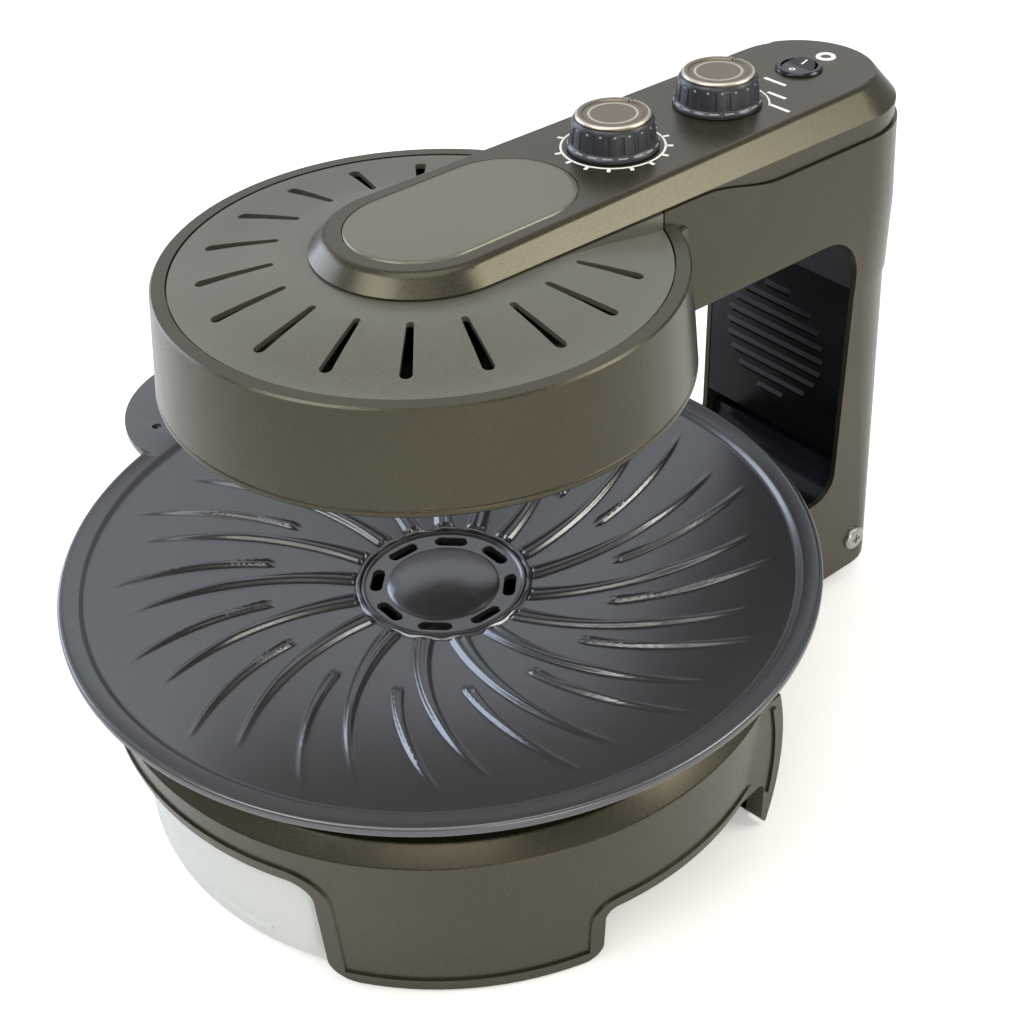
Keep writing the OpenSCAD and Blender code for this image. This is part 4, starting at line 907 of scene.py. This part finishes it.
class GRILL_OT_controls(bpy.types.Operator):
    """Builds the knobs, their printed dials, the power switch and the indicator"""

    bl_idname = "grill.controls"
    bl_label = "Controls"

    def execute(self, context):
        sizes = context.scene.grill_dials
        for name, body in (("timer", "timer_dial"), ("level", "level_dial")):
            grip, disc = Rounding(0.3, 2), Rounding(0.2, 2)
            softened(name + "_knob", name + "_grip", "knob_plastic", body, grip, slot="black_plastic")
            softened(name + "_cap", name + "_disc", name + "_disc", body, disc, slot="bronze_metal")
            self.trim(name, body, sizes)
        softened("switch_housing", "switch_bezel", "gloss_black", "lid", Rounding(0.3, 2))
        softened("power_rocker", "rocker_key", "gloss_black", "rocker", Rounding(0.4, 3))
        softened("indicator_ring", "indicator_bezel", "white_plastic", "lid", Rounding(0.15, 2))
        softened("indicator_lens", "indicator_window", "lens", "lid", Rounding(0.2, 2))
        self.timer_print(sizes)
        self.level_print()
        self.switch_print()
        return {"FINISHED"}

    def trim(self, name, body, sizes):
        """Pale dots near the top of the grip, and pale dashes round its flared foot that are painted
        highlights, standing for light caught on the foot's rim.
        """
        dot_r, dots_at, dots_up = 0.75, 18.55, 11.8
        # Painted highlights: pale arcs round the foot's rim, where the light would catch it between the
        # flutes
        dashes_at, dashes_up, dash_share = 20.6, 0.5, 0.62
        dash_line = [(20.2, 2.42), (20.62, 2.0), (20.74, 2.08), (20.32, 2.52)]
        step = 2 * math.pi / sizes.dots
        dot = bmesh.new()
        bmesh.ops.create_uvsphere(dot, u_segments=10, v_segments=6, radius=dot_r * MM)
        for vert in dot.verts:
            vert.co.x *= 0.35
        dash = bmesh.new()
        arc = 360.0 / sizes.dots * dash_share
        lathe(dash, dash_line, 5, (-dashes_at * MM, 0.0), -arc / 2, arc)
        for label, item, radius, start, height in (
            ("_dots", dot, dots_at, 0.0, dots_up),
            ("_foot_dashes", dash, dashes_at, step / 2, dashes_up),
        ):
            marks = repeated(
                name + label,
                item,
                sizes.dots,
                radius * MM,
                start,
                step,
                (0.0, 0.0, height * MM),
                "pale_dots_and_painted_highlight",
                body,
            )
            marks.data.transform(top_face(name + "_knob"))

    def timer_print(self, sizes):
        """Printed ring with a tick at each step, on the arm's top face."""
        place = top_face("timer_knob")
        inner, outer = sizes.ring_r - sizes.ring_w / 2, sizes.ring_r + sizes.ring_w / 2
        bm = bmesh.new()
        flat_ring(bm, inner, outer, 0.0, PRINT_T, (0.0, 0.0))
        bm.transform(place)
        new_piece("timer_ring_print", bm, "print", "lid")
        bm = bmesh.new()
        block(bm, (0.0, -sizes.tick_w / 2, 0.0), (sizes.tick_length, sizes.tick_w / 2, PRINT_T))
        ticks = repeated(
            "timer_tick_print",
            bm,
            sizes.tick_count,
            sizes.ring_r * MM,
            math.radians(sizes.first_tick),
            math.radians(sizes.tick_step),
            (0.0, 0.0, 0.0),
            "print",
            "lid",
        )
        ticks.data.transform(place)

    def level_print(self):
        """Three bars beside the level knob, joined by an arc."""
        bar_w = 1.9
        bm = bmesh.new()
        flat_ring(bm, 23.8, 24.7, 0.0, PRINT_T, (0.0, 0.0), 36.0, 44.0, 24)
        for left, right, y in ((-4.0, 9.5, 36.6), (8.6, 19.8, 25.2), (19.0, 31.0, 15.4)):
            block(bm, (left, y - bar_w / 2, 0.0), (right, y + bar_w / 2, PRINT_T))
        bm.transform(top_face("level_knob"))
        new_piece("level_print", bm, "print", "lid")

    def switch_print(self):
        """O and I on the rocker's two dished halves."""
        sunk, tilt = 3.0 * MM, math.radians(7.0)  # the rocker's middle under the face, and its rest tilt
        out, up, dish = 4.4 * MM, 4.66 * MM, math.atan2(1.2, 8.2)  # the middle of each half, and its slope
        place = top_face("timer_knob")
        along = (middle("switch_housing").y - place.translation.y) / math.cos(place.to_euler().x)
        hub = place @ Matrix.Translation((0.0, along, -sunk)) @ Matrix.Rotation(tilt, 4, "X")
        bm = bmesh.new()
        flat_ring(bm, 0.9, 1.6, 0.0, PRINT_T, (0.0, 0.0), steps=24)
        bm.transform(hub @ Matrix.Translation((0.0, -out, up)) @ Matrix.Rotation(-dish, 4, "X"))
        bar = bmesh.new()
        block(bar, (-0.4, -2.0, 0.0), (0.4, 2.0, PRINT_T))
        bar.transform(hub @ Matrix.Translation((0.0, out, up)) @ Matrix.Rotation(dish, 4, "X"))
        mesh = bpy.data.meshes.new("bar")
        bar.to_mesh(mesh)
        bar.free()
        bm.from_mesh(mesh)
        new_piece("rocker_print", bm, "print", "rocker")


# ------------------------------------------------------------------ stage


def area_lamp(name, place, aim, size, power, colour):
    """A soft square lamp that points at a place."""
    data = bpy.data.lights.new(name, "AREA")
    data.shape = "RECTANGLE"
    data.size, data.size_y = size
    data.energy = power
    data.color = srgb(colour)[:3]
    lamp = bpy.data.objects.new(name, data)
    lamp.location = place
    lamp.rotation_euler = (Vector(aim) - Vector(place)).to_track_quat("-Z", "Y").to_euler()
    bpy.context.scene.collection.objects.link(lamp)


class GRILL_OT_stage(bpy.types.Operator):
    """Sets the camera, the soft lamps and the pale floor"""

    bl_idname = "grill.stage"
    bl_label = "Stage"

    def execute(self, context):
        scene = context.scene
        scene.view_settings.view_transform = "Standard"
        self.set_camera(scene, scene.grill_stage)
        self.lay_floor(scene)
        self.light_world(scene)
        for name, place, size, power, colour in LAMPS:
            area_lamp(name, place, (AXIS.x, 0.0, 0.15), size, power, colour)
        return {"FINISHED"}

    def set_camera(self, scene, sizes):
        """The camera, from its place, its direction and its roll."""
        az, el, roll = (math.radians(v) for v in (sizes.azimuth, sizes.elevation, sizes.roll))
        back = Vector((math.sin(az) * math.cos(el), -math.cos(az) * math.cos(el), math.sin(el)))
        level = Vector((math.cos(az), math.sin(az), 0))
        up = back.cross(level)
        right = level * math.cos(roll) + up * math.sin(roll)
        over = up * math.cos(roll) - level * math.sin(roll)
        turn = Matrix((right, over, back)).transposed().to_4x4()
        data = bpy.data.cameras.new("camera")
        data.lens = sizes.lens
        data.sensor_width = 36.0
        data.clip_end = 50.0
        camera = bpy.data.objects.new("camera", data)
        camera.matrix_world = Matrix.Translation(Vector(sizes.camera_at) + AXIS) @ turn
        scene.collection.objects.link(camera)
        scene.camera = camera

    def lay_floor(self, scene):
        """A white floor that the camera sees fade into the white of the world."""
        near_m, far_m = 0.9, 3.0
        floor = bpy.data.meshes.new("floor")
        bm = bmesh.new()
        bmesh.ops.create_grid(bm, x_segments=1, y_segments=1, size=6.0)
        bm.to_mesh(floor)
        bm.free()
        values = {"Base Color": srgb("#f6f6f6"), "Roughness": 0.9, "Specular IOR Level": 0.1}
        values["Emission Color"] = srgb("#ffffff")
        material, tree, shader = new_material("white floor", **values)
        place = add_node(tree, "ShaderNodeTexCoord").outputs["Object"]
        reach = add_node(tree, "ShaderNodeVectorMath", {0: place}, operation="LENGTH").outputs["Value"]
        seen = add_node(tree, "ShaderNodeLightPath").outputs["Is Camera Ray"]
        glow = maths(tree, "MULTIPLY", spread(tree, reach, near_m, far_m, 0.3, 1.0), seen)
        tree.links.new(glow, shader.inputs["Emission Strength"])
        floor.materials.append(material)
        ground = bpy.data.objects.new("floor", floor)
        scene.collection.objects.link(ground)

    def light_world(self, scene):
        """A white world, dimmer as a light than it looks."""
        world = bpy.data.worlds.new("studio")
        world.use_nodes = True
        tree = world.node_tree
        tree.nodes.clear()
        paths = add_node(tree, "ShaderNodeLightPath").outputs
        seen = maths(tree, "MAXIMUM", paths["Is Camera Ray"], paths["Is Transmission Ray"])
        power = spread(tree, seen, 0.0, 1.0, 0.36, 1.0)
        sky = add_node(tree, "ShaderNodeBackground", {"Color": srgb("#ffffff"), "Strength": power})
        add_node(tree, "ShaderNodeOutputWorld", {"Surface": sky.outputs[0]})
        scene.world = world


class GRILL_PT_panel(bpy.types.Panel):
    """Lists the steps that build the grill's finish"""

    bl_idname = "GRILL_PT_panel"
    bl_label = "Electric grill"
    bl_space_type = "VIEW_3D"
    bl_region_type = "UI"
    bl_category = "Grill"

    def draw(self, context):
        for operator in OPERATORS:
            self.layout.operator(operator.bl_idname)
        for group in (context.scene.grill_pan, context.scene.grill_dials, context.scene.grill_stage):
            column = self.layout.column()
            for prop in group.bl_rna.properties:
                if prop.identifier not in ("rna_type", "name"):
                    column.prop(group, prop.identifier)


OPERATORS = (
    GRILL_OT_stage,
    GRILL_OT_pan,
    GRILL_OT_base,
    GRILL_OT_tray,
    GRILL_OT_shells,
    GRILL_OT_inner,
    GRILL_OT_controls,
)
CLASSES = (PanSizes, DialSizes, StageSizes) + OPERATORS + (GRILL_PT_panel,)


def register():
    """Adds the classes and the scene's size groups."""
    for item in CLASSES:
        bpy.utils.register_class(item)
    bpy.types.Scene.grill_pan = PointerProperty(type=PanSizes)
    bpy.types.Scene.grill_dials = PointerProperty(type=DialSizes)
    bpy.types.Scene.grill_stage = PointerProperty(type=StageSizes)


def unregister():
    """Takes them away again."""
    for name in ("grill_pan", "grill_dials", "grill_stage"):
        delattr(bpy.types.Scene, name)
    for item in reversed(CLASSES):
        bpy.utils.unregister_class(item)


def main():
    """Builds everything in order."""
    register()
    FINISH.update(make_materials())
    for operator in OPERATORS:
        group, name = operator.bl_idname.split(".")
        getattr(getattr(bpy.ops, group), name)()


if __name__ == "__main__":
    main()
